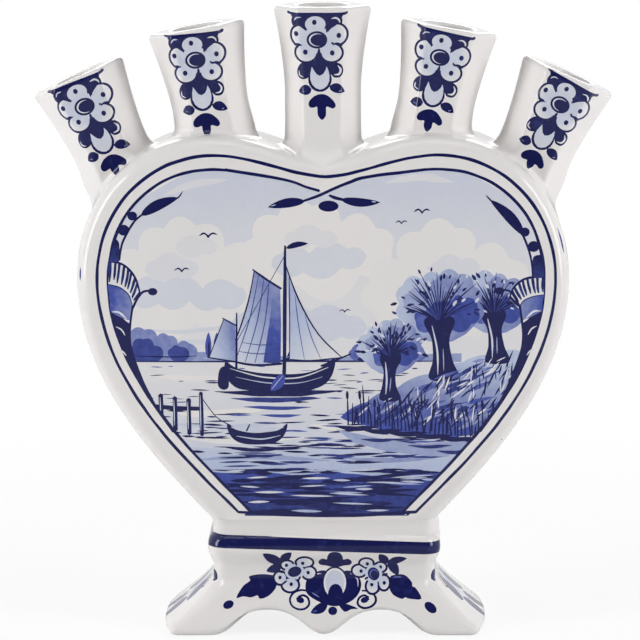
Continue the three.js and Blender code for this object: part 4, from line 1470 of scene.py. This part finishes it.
def willowMarks(x, z, height, seed):
    # A pollard willow: thick trunk, knotted head and a full crown of upright shoots
    grow = random.Random(seed)
    w = willow
    lean = grow.uniform(-w["lean"], w["lean"]) * height
    headX, headZ = x + lean, z + height * w["headHeight"]
    r = height * w["reach"]
    crown = []
    for k in range(w["crownPoints"]):
        turn = math.radians(-18 + 216 * k / (w["crownPoints"] - 1))
        reach = r * grow.uniform(0.88, 1.1)
        crown.append((headX + reach * math.cos(turn), headZ + r * 0.34 + reach * math.sin(turn) * 0.92))
    marks = [puffs(crown, fade((headX - r, headZ + r), (headX + r, headZ), 0.24, 0.56), 0.3)]
    for across, up, size, tone in w["masses"]:
        mass = []
        for k in range(6):
            turn = math.radians(60 * k + 12)
            mass.append((headX + across * r + size * r * math.cos(turn),
                         headZ + up * r + size * r * 0.72 * math.sin(turn)))
        marks.append(puffs(mass, tone, 0.3))
    for k in range(w["shoots"]):
        turn = math.radians(24 + 132 * (k + grow.uniform(-0.3, 0.3)) / (w["shoots"] - 1))
        length = r * grow.uniform(0.7, 1.28)
        tip = (headX + length * math.cos(turn), headZ + length * math.sin(turn) * 1.05)
        middle = (headX + length * 0.42 * math.cos(turn), headZ + length * 0.56 * math.sin(turn))
        marks.append(stroke([(headX, headZ), middle, tip], 0.46, grow.choice([0.97, 0.97, 0.8]), (1, 0.25),
            3))
    for k in range(w["leaves"]):
        turn, reach = math.radians(grow.uniform(-10, 190)), r * grow.uniform(0.35, 1.12)
        px, pz = headX + reach * math.cos(turn), headZ + r * 0.3 + reach * 0.9 * math.sin(turn)
        tilt = turn + grow.uniform(-0.7, 0.7)
        size = grow.uniform(1.3, 2.4)
        marks.append(leaf((px, pz), (px + size * math.cos(tilt), pz + size * math.sin(tilt)), size * 0.42,
            grow.choice([0.97, 0.97, 0.9, 0.15])))
    wide = height * w["trunk"]
    marks += [
        blob([(x - wide * 1.3, z - 1), (x - wide, z + height * 0.14), (x - wide * 0.9 + lean * 0.6,
            z + height * 0.32), (headX - wide * 1.5, headZ), (headX - wide * 1.1, headZ + 2.0),
            (headX, headZ + 1.1), (headX + wide * 1.2, headZ + 2.2), (headX + wide * 1.6, headZ + 0.2),
            (x + wide * 0.9 + lean * 0.6, z + height * 0.32), (x + wide, z + height * 0.14),
            (x + wide * 1.6, z - 1)], 0.98),
        stroke([(x - wide * 0.5, z + 0.6), (x - wide * 0.4 + lean * 0.4, z + height * 0.22),
            (headX - wide * 0.7, headZ - 0.8)], 0.6, 0.16, (0.3, 0.3)),
        stroke([(x + wide * 0.1, z + 1.8), (x + wide * 0.2 + lean * 0.4, z + height * 0.24)], 0.35, 0.4,
            (0.3, 0.3)),
    ]
    return marks


def bankMarks():
    marks = [
        mark([(4, 66.6), (16, 64.0), (30, 61.6), (44, 62.6), (50, 64), (47, 58.5), (34, 57.6), (20, 59.4),
            (10, 62.2)], 0.42),
        puffs(
            [(5.5, 70.4), (14, 75.4), (24, 80.2), (34, 84.4), (44, 88.0), (53, 90.4), (62, 91.8), (63, 84),
                (59, 76), (52, 66.6), (44, 64.2), (33, 64.4), (22, 66.4), (12, 68.6)],
            fade((40, 90), (36, 66), 0.3, 0.66), 0.08,
        ),
    ]
    for one in view["willows"]:
        marks += willowMarks(*one)

    def onBank(x, z):
        return 7 < x < 60.5 and 66.0 + abs(x - 40) * 0.06 < z < 71.0 + (x - 6) * 0.42
    for patch, tones in (
        (dict(across=54, up=26, center=(34, 79), count=110, lengths=(10, 7), widths=(1.7, 1.1), turn=22,
            spread=12, seed=21), [0.62, 0.8, 0.48]),
        (dict(across=54, up=24, center=(34, 77), count=210, lengths=(6, 5), widths=(0.66, 0.5), turn=68,
            spread=34, seed=6), [0.97, 0.9, 0.97]),
        (dict(across=52, up=22, center=(35, 78), count=64, lengths=(5, 5), widths=(0.6, 0.5), turn=58,
            spread=34, seed=12), [0.02, 0.12]),
    ):
        marks += scatteredMarks(patch, tones, onBank)
    # reeds along the water's edge, with their heads
    stems = view["reeds"]
    for k in range(stems):
        x = 8.0 + 48.0 * (k + hand.uniform(-0.4, 0.4)) / (stems - 1)
        foot = 69.8 - (x - 5.5) * 0.13 - hand.uniform(0, 1.8)
        tall = hand.uniform(*view["reedHeights"]) * (1.3 if k % 5 == 0 else 1)
        sway = hand.uniform(-1.6, 1.2)
        marks.append(stroke([(x, foot), (x + sway * 0.3, foot + tall * 0.6), (x + sway, foot + tall)], 0.5,
            0.97, (1, 0.3), 3))
        if k % 4 == 0:
            marks.append(oval((x + sway, foot + tall), 0.48, 1.45, 0.97, turn=-sway * 6, points=12))
    for k in range(6):
        x, z = 4 + 8 * k, 67.4 - k * 0.9
        marks.append(stroke([(x, z), (x + 6, z - 0.7), (x + 13, z - 0.2)], 1.5, 0.97, (0.2, 0.2)))
    for x, z, reach in ((12, 63.4, 12), (27, 61.2, 14), (36, 59.4, 11), (20, 58.2, 10)):
        marks.append(stroke([(x, z), (x + reach / 2, z - 0.5), (x + reach, z)], 1.1, 0.85, (0.15, 0.15)))
    return marks


def stageMarks():
    # A landing stage with its posts at the left, and a rowing boat tied to it
    marks = [
        stroke([(-55.2, 74.2), (-48, 73.4), (-38.4, 73.2)], 1.5, 0.97, (0.9, 0.8)),
        stroke([(-54, 75.1), (-46, 74.3), (-39.4, 74.1)], 0.45, 0.15, (0.5, 0.5)),
    ]
    for x, top, low in ((-51.6, 77.6, 69.4), (-47.2, 76.8, 66.2), (-42.8, 76.2, 65.0), (-38.8, 78.4, 64.6)):
        marks += [
            stroke([(x, top), (x + 0.2, low)], 1.45, 0.97, (0.95, 0.9), 3),
            stroke([(x - 0.28, top - 0.8), (x - 0.15, low + 1.5)], 0.3, 0.2, (0.4, 0.4), 3),
            stroke([(x - 2.2, low - 0.7), (x + 2.0, low - 0.9)], 0.7, 0.9, (0.2, 0.2), 3),
        ]
    marks += [
        stroke([(-38.6, 76.8), (-34.0, 70.6), (-29.4, 67.8)], 0.32, 0.95, (1, 1), 5),
        blob([(-30.6, 68.2), (-27, 66.4), (-21, 65.6), (-14.6, 66.2), (-11.4, 68.4), (-12.6, 64.4),
            (-16.4, 62.0), (-25, 61.8), (-29.2, 64.0)], 0.99),
        leaf((-29.4, 67.2), (-12.4, 67.2), 1.9, 0.2, -0.05),
        stroke([(-24.4, 66.0), (-23.4, 68.2)], 0.5, 0.97, (0.9, 0.8), 2),
        stroke([(-27.6, 64.4), (-20, 63.4), (-13.6, 64.6)], 0.4, 0.25, (0.3, 0.3)),
        stroke([(-31, 60.6), (-21, 59.8), (-11, 60.8)], 1.3, 0.95, (0.15, 0.15)),
        stroke([(-27, 58.4), (-19, 57.9), (-13, 58.5)], 0.9, 0.85, (0.15, 0.15)),
    ]
    return marks


def frontMarks():
    picture = skyMarks() + farMarks() + waterMarks() + shifted(boatMarks(), *view["boat"])
    picture += bankMarks() + stageMarks()
    framing = bareMarks() + lineMarks(border["crossing"]) + crossingMarks()
    return picture + framing + sideOrnament(-1) + sideOrnament(1)


# Ornament of the foot: two flowers and a tulip between leaves

def footFrontMarks():
    dark, line, wash = 0.97, 0.72, 0.2
    marks = []
    # sprigs, leaves and dots
    for base, tip, width in (((-13.3, 23.0), (-19.6, 26.1), 3.2), ((-13.9, 22.8), (-10.3, 26.5), 2.9),
                             ((-13.3, 22.3), (-18.5, 20.1), 2.9), ((20.6, 22.8), (17.6, 25.9), 3.0),
                             ((20.2, 22.7), (26.6, 24.5), 2.5), ((20.6, 23.5), (23.8, 18.7), 3.1)):
        marks.append(leaf(base, tip, width, dark, 0.04))
    marks += [
        blob([(-15.6, 18.3), (-17.2, 18.9), (-20.5, 19.1), (-24.0, 18.4), (-23.7, 17.0), (-25.9, 15.4),
            (-28.1, 11.8), (-25.9, 12.2), (-23.4, 11.9), (-21.3, 12.5), (-20.6, 11.5), (-18.6, 11.9),
            (-16.6, 13.3), (-15.2, 15.5)], dark, 3),
        blob([(21.0, 17.8), (22.3, 18.8), (25.7, 18.9), (28.1, 16.6), (28.3, 15.3), (29.5, 14.6),
            (31.2, 11.4), (27.2, 11.5), (26, 11.9), (24.9, 11.4), (22.1, 12.7), (20.8, 15.2)], dark, 3),
        stroke([(22.0, 17.9), (23.4, 18.2), (24.9, 18.1)], 0.5, 0.6, (0.3, 0.3)),
        oval((-30.6, 9.7), 1.75, 1.25, dark, 22), oval((34.1, 8.8), 2.2, 1.4, dark, -38),
    ]
    # curls under the flowers
    marks += [
        stroke([(-4.6, 13.6), (-7.2, 14.1), (-9.7, 13.3), (-10.9, 11.4), (-10.3, 9.4), (-8.4, 8.3),
            (-6.2, 8.4), (-4.8, 9.7), (-5.1, 11.6), (-6.6, 12.5), (-8.2, 12.0)], 0.7, dark, (0.8, 0.9)),
        oval((-7.6, 11.1), 1.3, 0.95, dark, -20),
        stroke([(-8.6, 11.8), (-8.4, 10.6)], 0.6, dark, (0.8, 0.8), 3),
        stroke([(12.2, 13.9), (14.6, 13.7), (16.4, 12.2), (16.5, 10.4), (14.9, 9.0), (12.6, 8.7),
            (10.9, 9.8), (11.2, 11.6), (12.8, 12.5), (14.3, 11.9)], 0.7, dark, (0.8, 0.9)),
        oval((13.0, 11.1), 1.25, 0.9, dark, 15),
        stroke([(13.8, 11.6), (14.4, 11.2)], 0.6, dark, (0.8, 0.8), 3),
    ]
    # tulip with its pale heart and the trefoil above
    marks += [
        leaf((1.2, 10.2), (-4.3, 7.2), 3.0, dark, 0.05),
        stroke([(-2.2, 7.9), (-3.6, 7.5)], 0.5, 0.62, (0.4, 0.3), 3),
        blob([(4.6, 10.2), (7.0, 10.0), (10.9, 8.5), (8.8, 8.3), (6.8, 7.5), (5.4, 8.6)], dark, 3),
        oval((2.8, 7.8), 1.45, 1.3, dark),
        blob([(0.2, 20.3), (-2.2, 19.9), (-4.9, 18.2), (-5.9, 15.9), (-5.5, 13.2), (-2.9, 11.2), (0.7, 9.7),
            (3.5, 9.2), (6.3, 9.7), (9.4, 11.2), (11.5, 13.8), (11.8, 16.9), (9.6, 19.4), (7.2, 20.3),
            (3.7, 19.0)], dark),
        stroke([(-4.4, 17.6), (-2.8, 19.0), (-0.9, 19.3)], 0.4, 0.1, (0.3, 0.3)),
        stroke([(8.4, 19.4), (10.6, 17.6), (10.9, 15.2)], 0.4, 0.1, (0.3, 0.3)),
        stroke([(-3.9, 13.4), (-1.5, 11.9)], 0.3, 0.5, (0.3, 0.3), 3), oval((3.5, 16.3), 4.2, 5.4, dark),
        oval((3.5, 16.4), 3.6, 4.7, 0.03), oval((3.5, 16.3), 3.0, 4.0, wash, points=26),
        blob([(3.7, 16.0), (2.2, 15.3), (1.3, 13.2), (1.6, 10.6), (5.8, 10.6), (6.1, 13.2), (5.2, 15.3)],
            dark),
        blob([(3.5, 26.7), (1.9, 26.3), (1.1, 25.1), (0.9, 24.1), (-0.5, 24.4), (-1.7, 23.5), (-1.3, 22.3),
            (0.8, 21.9), (3.6, 21.3), (6.4, 21.9), (8.4, 22.2), (8.9, 23.3), (7.8, 24.3), (6.2, 24.1),
            (6.0, 25.1), (5.2, 26.3)], dark),
    ]
    for flower, eye, petals, seeds, ticks in (
        (
            (-9.4, 19.9), (2.25, 1.65),
            [(-11.8, 22.1, 2.1, 1.65), (-10.8, 15.7, 2.85, 2.3), (-6.2, 23.0, 2.85, 1.9),
                (-4.8, 19.5, 2.35, 2.2), (-14.0, 17.9, 2.15, 2.2)],
            [(-12.0, 22.0), (-10.5, 15.9), (-6.8, 22.7), (-5.1, 19.6), (-14.1, 18.0)],
            [
                [(-14.2, 19.9), (-12.5, 19.6)], [(-13.7, 15.6), (-11.9, 17.0)],
                [(-8.2, 17.0), (-7.6, 18.3)], [(-3.6, 21.8), (-5.9, 21.3)], [(-9.2, 23.4), (-8.8, 21.8)],
            ],
        ),
        (
            (15.9, 19.2), (1.85, 2.15),
            [(13.6, 22.8, 2.35, 1.75), (18.1, 21.4, 2.0, 1.75), (11.3, 20.2, 2.45, 2.1),
                (15.5, 15.3, 2.15, 2.4), (19.2, 16.4, 1.95, 2.45)],
            [(13.9, 22.5), (18.1, 21.4), (11.9, 20.1), (15.3, 15.8), (19.3, 16.3)],
            [
                [(11.3, 22.4), (13.2, 21.1)], [(15.8, 23.2), (16.1, 21.9)], [(20.3, 19.2), (18.6, 19.1)],
                [(17.5, 13.7), (17.4, 16.2)], [(13.2, 17.5), (14.2, 18.1)],
            ],
        ),
    ):
        marks += petalMarks(flower, petals, line, wash)
        marks += [oval(seed, 0.55, 0.62, dark, points=12) for seed in seeds]
        marks += [oval(flower, eye[0] + 0.9, eye[1] + 0.9, wash), oval(flower, *eye, dark, 20)]
        marks += [stroke(tick, line * 0.85, dark, (1, 0.5), 3) for tick in ticks]
    marks += [oval((15.9, 19.2), 1.35, 1.6, 0.62), oval((16.1, 19.0), 1.1, 1.3, 1.0)]
    return marks


def footSideMarks():
    # A palmette down the middle of either end, written as (across, up)
    marks = [leaf((0, 15.0), (0, 6.0), 5.6, 0.2)]
    for side in (1, -1):
        marks += [oval((side * 17.0, 18.0), 1.9, 2.0, 0.97),
                  leaf((side * 1.0, 17.0), (side * 11.0, 12.6), 5.6, 0.9, side * -0.04),
                  leaf((side * 2.0, 16.5), (side * 10.0, 13.0), 4.0, 0.04, side * -0.04),
                  leaf((side * 3.5, 15.7), (side * 8.5, 13.6), 1.9, 0.92, side * -0.04),
                  leaf((side * 2.0, 12.6), (side * 10.0, 8.0), 6.4, 0.92, side * 0.1),
                  leaf((side * 0.8, 6.4), (side * 8.0, 1.9), 5.8, 0.92, side * 0.1)]
    return marks


def backMarks():
    # The back is guessed: the same two lines, round the foot's flower group drawn larger over a sprig
    marks = lineMarks(0.0) + shifted(footFrontMarks(), -3.5, 76.0, 1.42)
    marks += [stroke([(1.2, 86.4), (0.4, 74.0), (1.8, 60.0), (0.8, 50.0)], 0.9, 0.95, (0.8, 0.5)),
              oval((0.8, 48.6), 1.5, 1.3, 0.97)]
    for k, z in enumerate((78.0, 70.6, 63.6, 57.2)):
        for side in (1, -1):
            reach = 15.0 - 2.6 * k
            marks.append(leaf((1.0 + side * 0.5, z), (1.0 + side * reach, z + 5.0 - k * 0.6), 4.2 - 0.4 * k,
                0.97, side * 0.1))
            marks.append(stroke([(1.0 + side * reach * 0.35, z + 1.9),
                (1.0 + side * reach * 0.75, z + 3.6)], 0.35, 0.25, (0.3, 0.3)))
    return marks


# Pieces

# which facets of a piece are painted: how far out they lie and how much they face that way
spoutWindow = dict(depth=3, facing=0.25, underRim=0.1)
footWindow = dict(
    low=2.0, frontDepth=15, frontFacing=0.8, frontReach=46, endStart=30, endFacing=0.35, endDepth=21,
    bandX=31.5, bandY=17,
)


def facePlane(coords):
    return coords[:, [0, 2]]


def endPlane(coords):
    return coords[:, [1, 2]]


def finishPiece(piece, node):
    piece.data.materials.clear()
    piece.data.materials.append(glaze)
    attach(piece, "root")
    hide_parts(node)
    print(piece.name, "has", len(piece.data.polygons), "facets")


def onPanel(side):
    edge = halfDepth - flask["edgeRadius"] - 0.01
    return lambda center, normal: side * center[1] > edge and side * normal[1] > 0.02


def onSpoutFront(spout):
    w = spoutWindow

    def holds(center, normal):
        underRim = spoutLocal(spout, center)[2] < spout["length"] - w["underRim"]
        return center[1] < -w["depth"] and normal[1] < -w["facing"] and underRim
    return holds


def underBand(center):
    return footWindow["low"] < center[2] < bandHeight(footShape["bandLow"], center[0])


def onFootFront(center, normal):
    w = footWindow
    facing = normal[1] < -w["frontFacing"] and center[1] < -w["frontDepth"]
    return underBand(center) and facing and abs(center[0]) < w["frontReach"]


def onFootEnd(side):
    w = footWindow

    def holds(center, normal):
        facing = side * normal[0] > w["endFacing"] and side * center[0] > w["endStart"]
        return underBand(center) and facing and abs(center[1]) < w["endDepth"]
    return holds


def bandTone(center):
    f, w = footShape, footWindow
    low, high = bandHeight(f["bandLow"], center[0]), bandHeight(f["bandHigh"], center[0])
    outside = abs(center[0]) > w["bandX"] or abs(center[1]) > w["bandY"]
    return 0.97 if outside and low < center[2] < high else 0.0


flaskFront = glazedPiece("flaskFront", flaskHalfMesh("flaskFront", -1),
                         [dict(holds=onPanel(-1), flatten=facePlane, marks=frontMarks())])
finishPiece(flaskFront, "flask_front")
flaskBack = glazedPiece("flaskBack", flaskHalfMesh("flaskBack", 1),
                        [dict(holds=onPanel(1), flatten=facePlane, marks=backMarks())])
finishPiece(flaskBack, "flask_back")
bracketFoot = glazedPiece("bracketFoot", footMesh(), [
    dict(holds=onFootFront, flatten=facePlane, marks=footFrontMarks()),
    dict(holds=onFootEnd(1), flatten=endPlane, marks=footSideMarks()),
    dict(holds=onFootEnd(-1), flatten=endPlane, marks=footSideMarks()),
], bandTone)
finishPiece(bracketFoot, "foot")
for spout in spouts:
    window = dict(holds=onSpoutFront(spout), flatten=lambda coords, spout=spout: spoutLocal(spout,
        coords)[:, [0, 2]], marks=spoutMarks(spout))
    finishPiece(glazedPiece(spout["name"], spoutMesh(spout), [window]), spout["node"])
print("pieces done")


# Studio

studio = dict(
    cameraAim=(-1.3, 0.0, 98.2), cameraDistance=1250.0, cameraElevation=9.02, cameraTurn=1.19,
    cameraRoll=-0.29, lens=218.0, sensor=36.0, floorSize=6.0, floorColour=(0.86, 0.86, 0.86),
    floorRoughness=0.9, shadowReach=(0.12, 0.40), nearWhite=0.85,
    # the room is darker in front of the object than around it: there, around
    roomLight=(0.0, 0.33), roomGloss=(0.15, 1.0), roomFade=(-0.75, 0.05), lampTarget=(0, 0, 0.1),
    # where each lamp stands, its width and height in metres, and its watts
    lamps=dict(leftBox=((-0.9, -0.42, 0.38), (0.28, 0.8), 7.2),
               rightBox=((0.9, -0.42, 0.38), (0.28, 0.8), 6.6),
               topBox=((0.0, -0.3, 1.4), (0.9, 0.5), 2.6),
               backBox=((0.0, 1.1, 0.7), (0.9, 0.5), 6.0)),
)


def addCamera():
    s = studio
    aim = Vector(s["cameraAim"]) * metre
    rise, turn = math.radians(s["cameraElevation"]), math.radians(s["cameraTurn"])
    away = Vector((math.sin(turn) * math.cos(rise), -math.cos(turn) * math.cos(rise), math.sin(rise)))
    data = bpy.data.cameras.new("camera")
    data.lens = s["lens"]
    data.sensor_width = s["sensor"]
    camera = bpy.data.objects.new("camera", data)
    bpy.context.scene.collection.objects.link(camera)
    camera.location = aim + away * s["cameraDistance"] * metre
    camera.rotation_euler = (-away).to_track_quat("-Z", "Y").to_euler()
    camera.rotation_euler.rotate_axis("Z", math.radians(s["cameraRoll"]))
    bpy.context.scene.camera = camera


def addLamp(name, location, size, power):
    data = bpy.data.lights.new(name, "AREA")
    data.shape = "RECTANGLE"
    data.size, data.size_y = size
    data.energy = power
    lamp = bpy.data.objects.new(name, data)
    lamp.location = location
    away = Vector(location) - Vector(studio["lampTarget"])
    lamp.rotation_euler = away.to_track_quat("Z", "Y").to_euler()
    bpy.context.scene.collection.objects.link(lamp)


def smoothRange(tree, value, ends, results):
    inputs = {"Value": value, "From Min": ends[0], "From Max": ends[1], "To Min": results[0],
        "To Max": results[1]}
    return addNode(tree, "ShaderNodeMapRange", inputs, interpolation_type="SMOOTHSTEP").outputs["Result"]


def addFloor():
    s = studio
    size = s["floorSize"] / 2
    mesh = bpy.data.meshes.new("floor")
    mesh.from_pydata(
        [(-size, -size, 0), (size, -size, 0), (size, size, 0), (-size, size, 0)], [], [(0, 1, 2, 3)],
    )
    floor = newObject("floor", mesh)
    material = bpy.data.materials.new("floorPaper")
    material.use_nodes = True
    tree = material.node_tree
    paper = tree.nodes["Principled BSDF"]
    paper.inputs["Base Color"].default_value = (*s["floorColour"], 1)
    paper.inputs["Roughness"].default_value = s["floorRoughness"]
    # further off the paper runs out into a plain white backdrop, as the camera sees it
    place = addNode(tree, "ShaderNodeTexCoord", {}).outputs["Object"]
    reach = addNode(tree, "ShaderNodeVectorMath", {0: place}, operation="LENGTH").outputs["Value"]
    far = smoothRange(tree, reach, s["shadowReach"], (s["nearWhite"], 1.0))
    seen = addNode(tree, "ShaderNodeLightPath", {}).outputs["Is Camera Ray"]
    share = addNode(tree, "ShaderNodeMath", {0: far, 1: seen}, operation="MULTIPLY").outputs[0]
    glow = addNode(tree, "ShaderNodeEmission", {}).outputs["Emission"]
    blend = addNode(tree, "ShaderNodeMixShader", {"Fac": share, 1: paper.outputs["BSDF"], 2: glow})
    feed(tree, tree.nodes["Material Output"].inputs["Surface"], blend.outputs["Shader"])
    floor.data.materials.append(material)


def addRoom():
    # White as the camera and reflections see it, though darker in front, where the room lies
    world = bpy.data.worlds.new("studio")
    bpy.context.scene.world = world
    world.use_nodes = True
    tree = world.node_tree
    rays = addNode(tree, "ShaderNodeLightPath", {}).outputs
    facing = addNode(tree, "ShaderNodeTexCoord", {}).outputs["Generated"]
    back = addNode(tree, "ShaderNodeSeparateXYZ", {0: facing}).outputs["Y"]
    light, gloss = (smoothRange(tree, back, studio["roomFade"],
        studio[kind]) for kind in ("roomLight", "roomGloss"))
    mirrored = addNode(tree, "ShaderNodeMix", {0: rays["Is Glossy Ray"], 2: light, 3: gloss}).outputs[0]
    strength = addNode(tree, "ShaderNodeMix", {0: rays["Is Camera Ray"], 2: mirrored, 3: 1.0}).outputs[0]
    background = tree.nodes["Background"]
    background.inputs["Color"].default_value = (1, 1, 1, 1)
    feed(tree, background.inputs["Strength"], strength)


addCamera()
addFloor()
addRoom()
for name, lamp in studio["lamps"].items():
    addLamp(name, *lamp)
print("camera, floor and lamps done")
bpy.context.scene.view_settings.view_transform = "Standard"
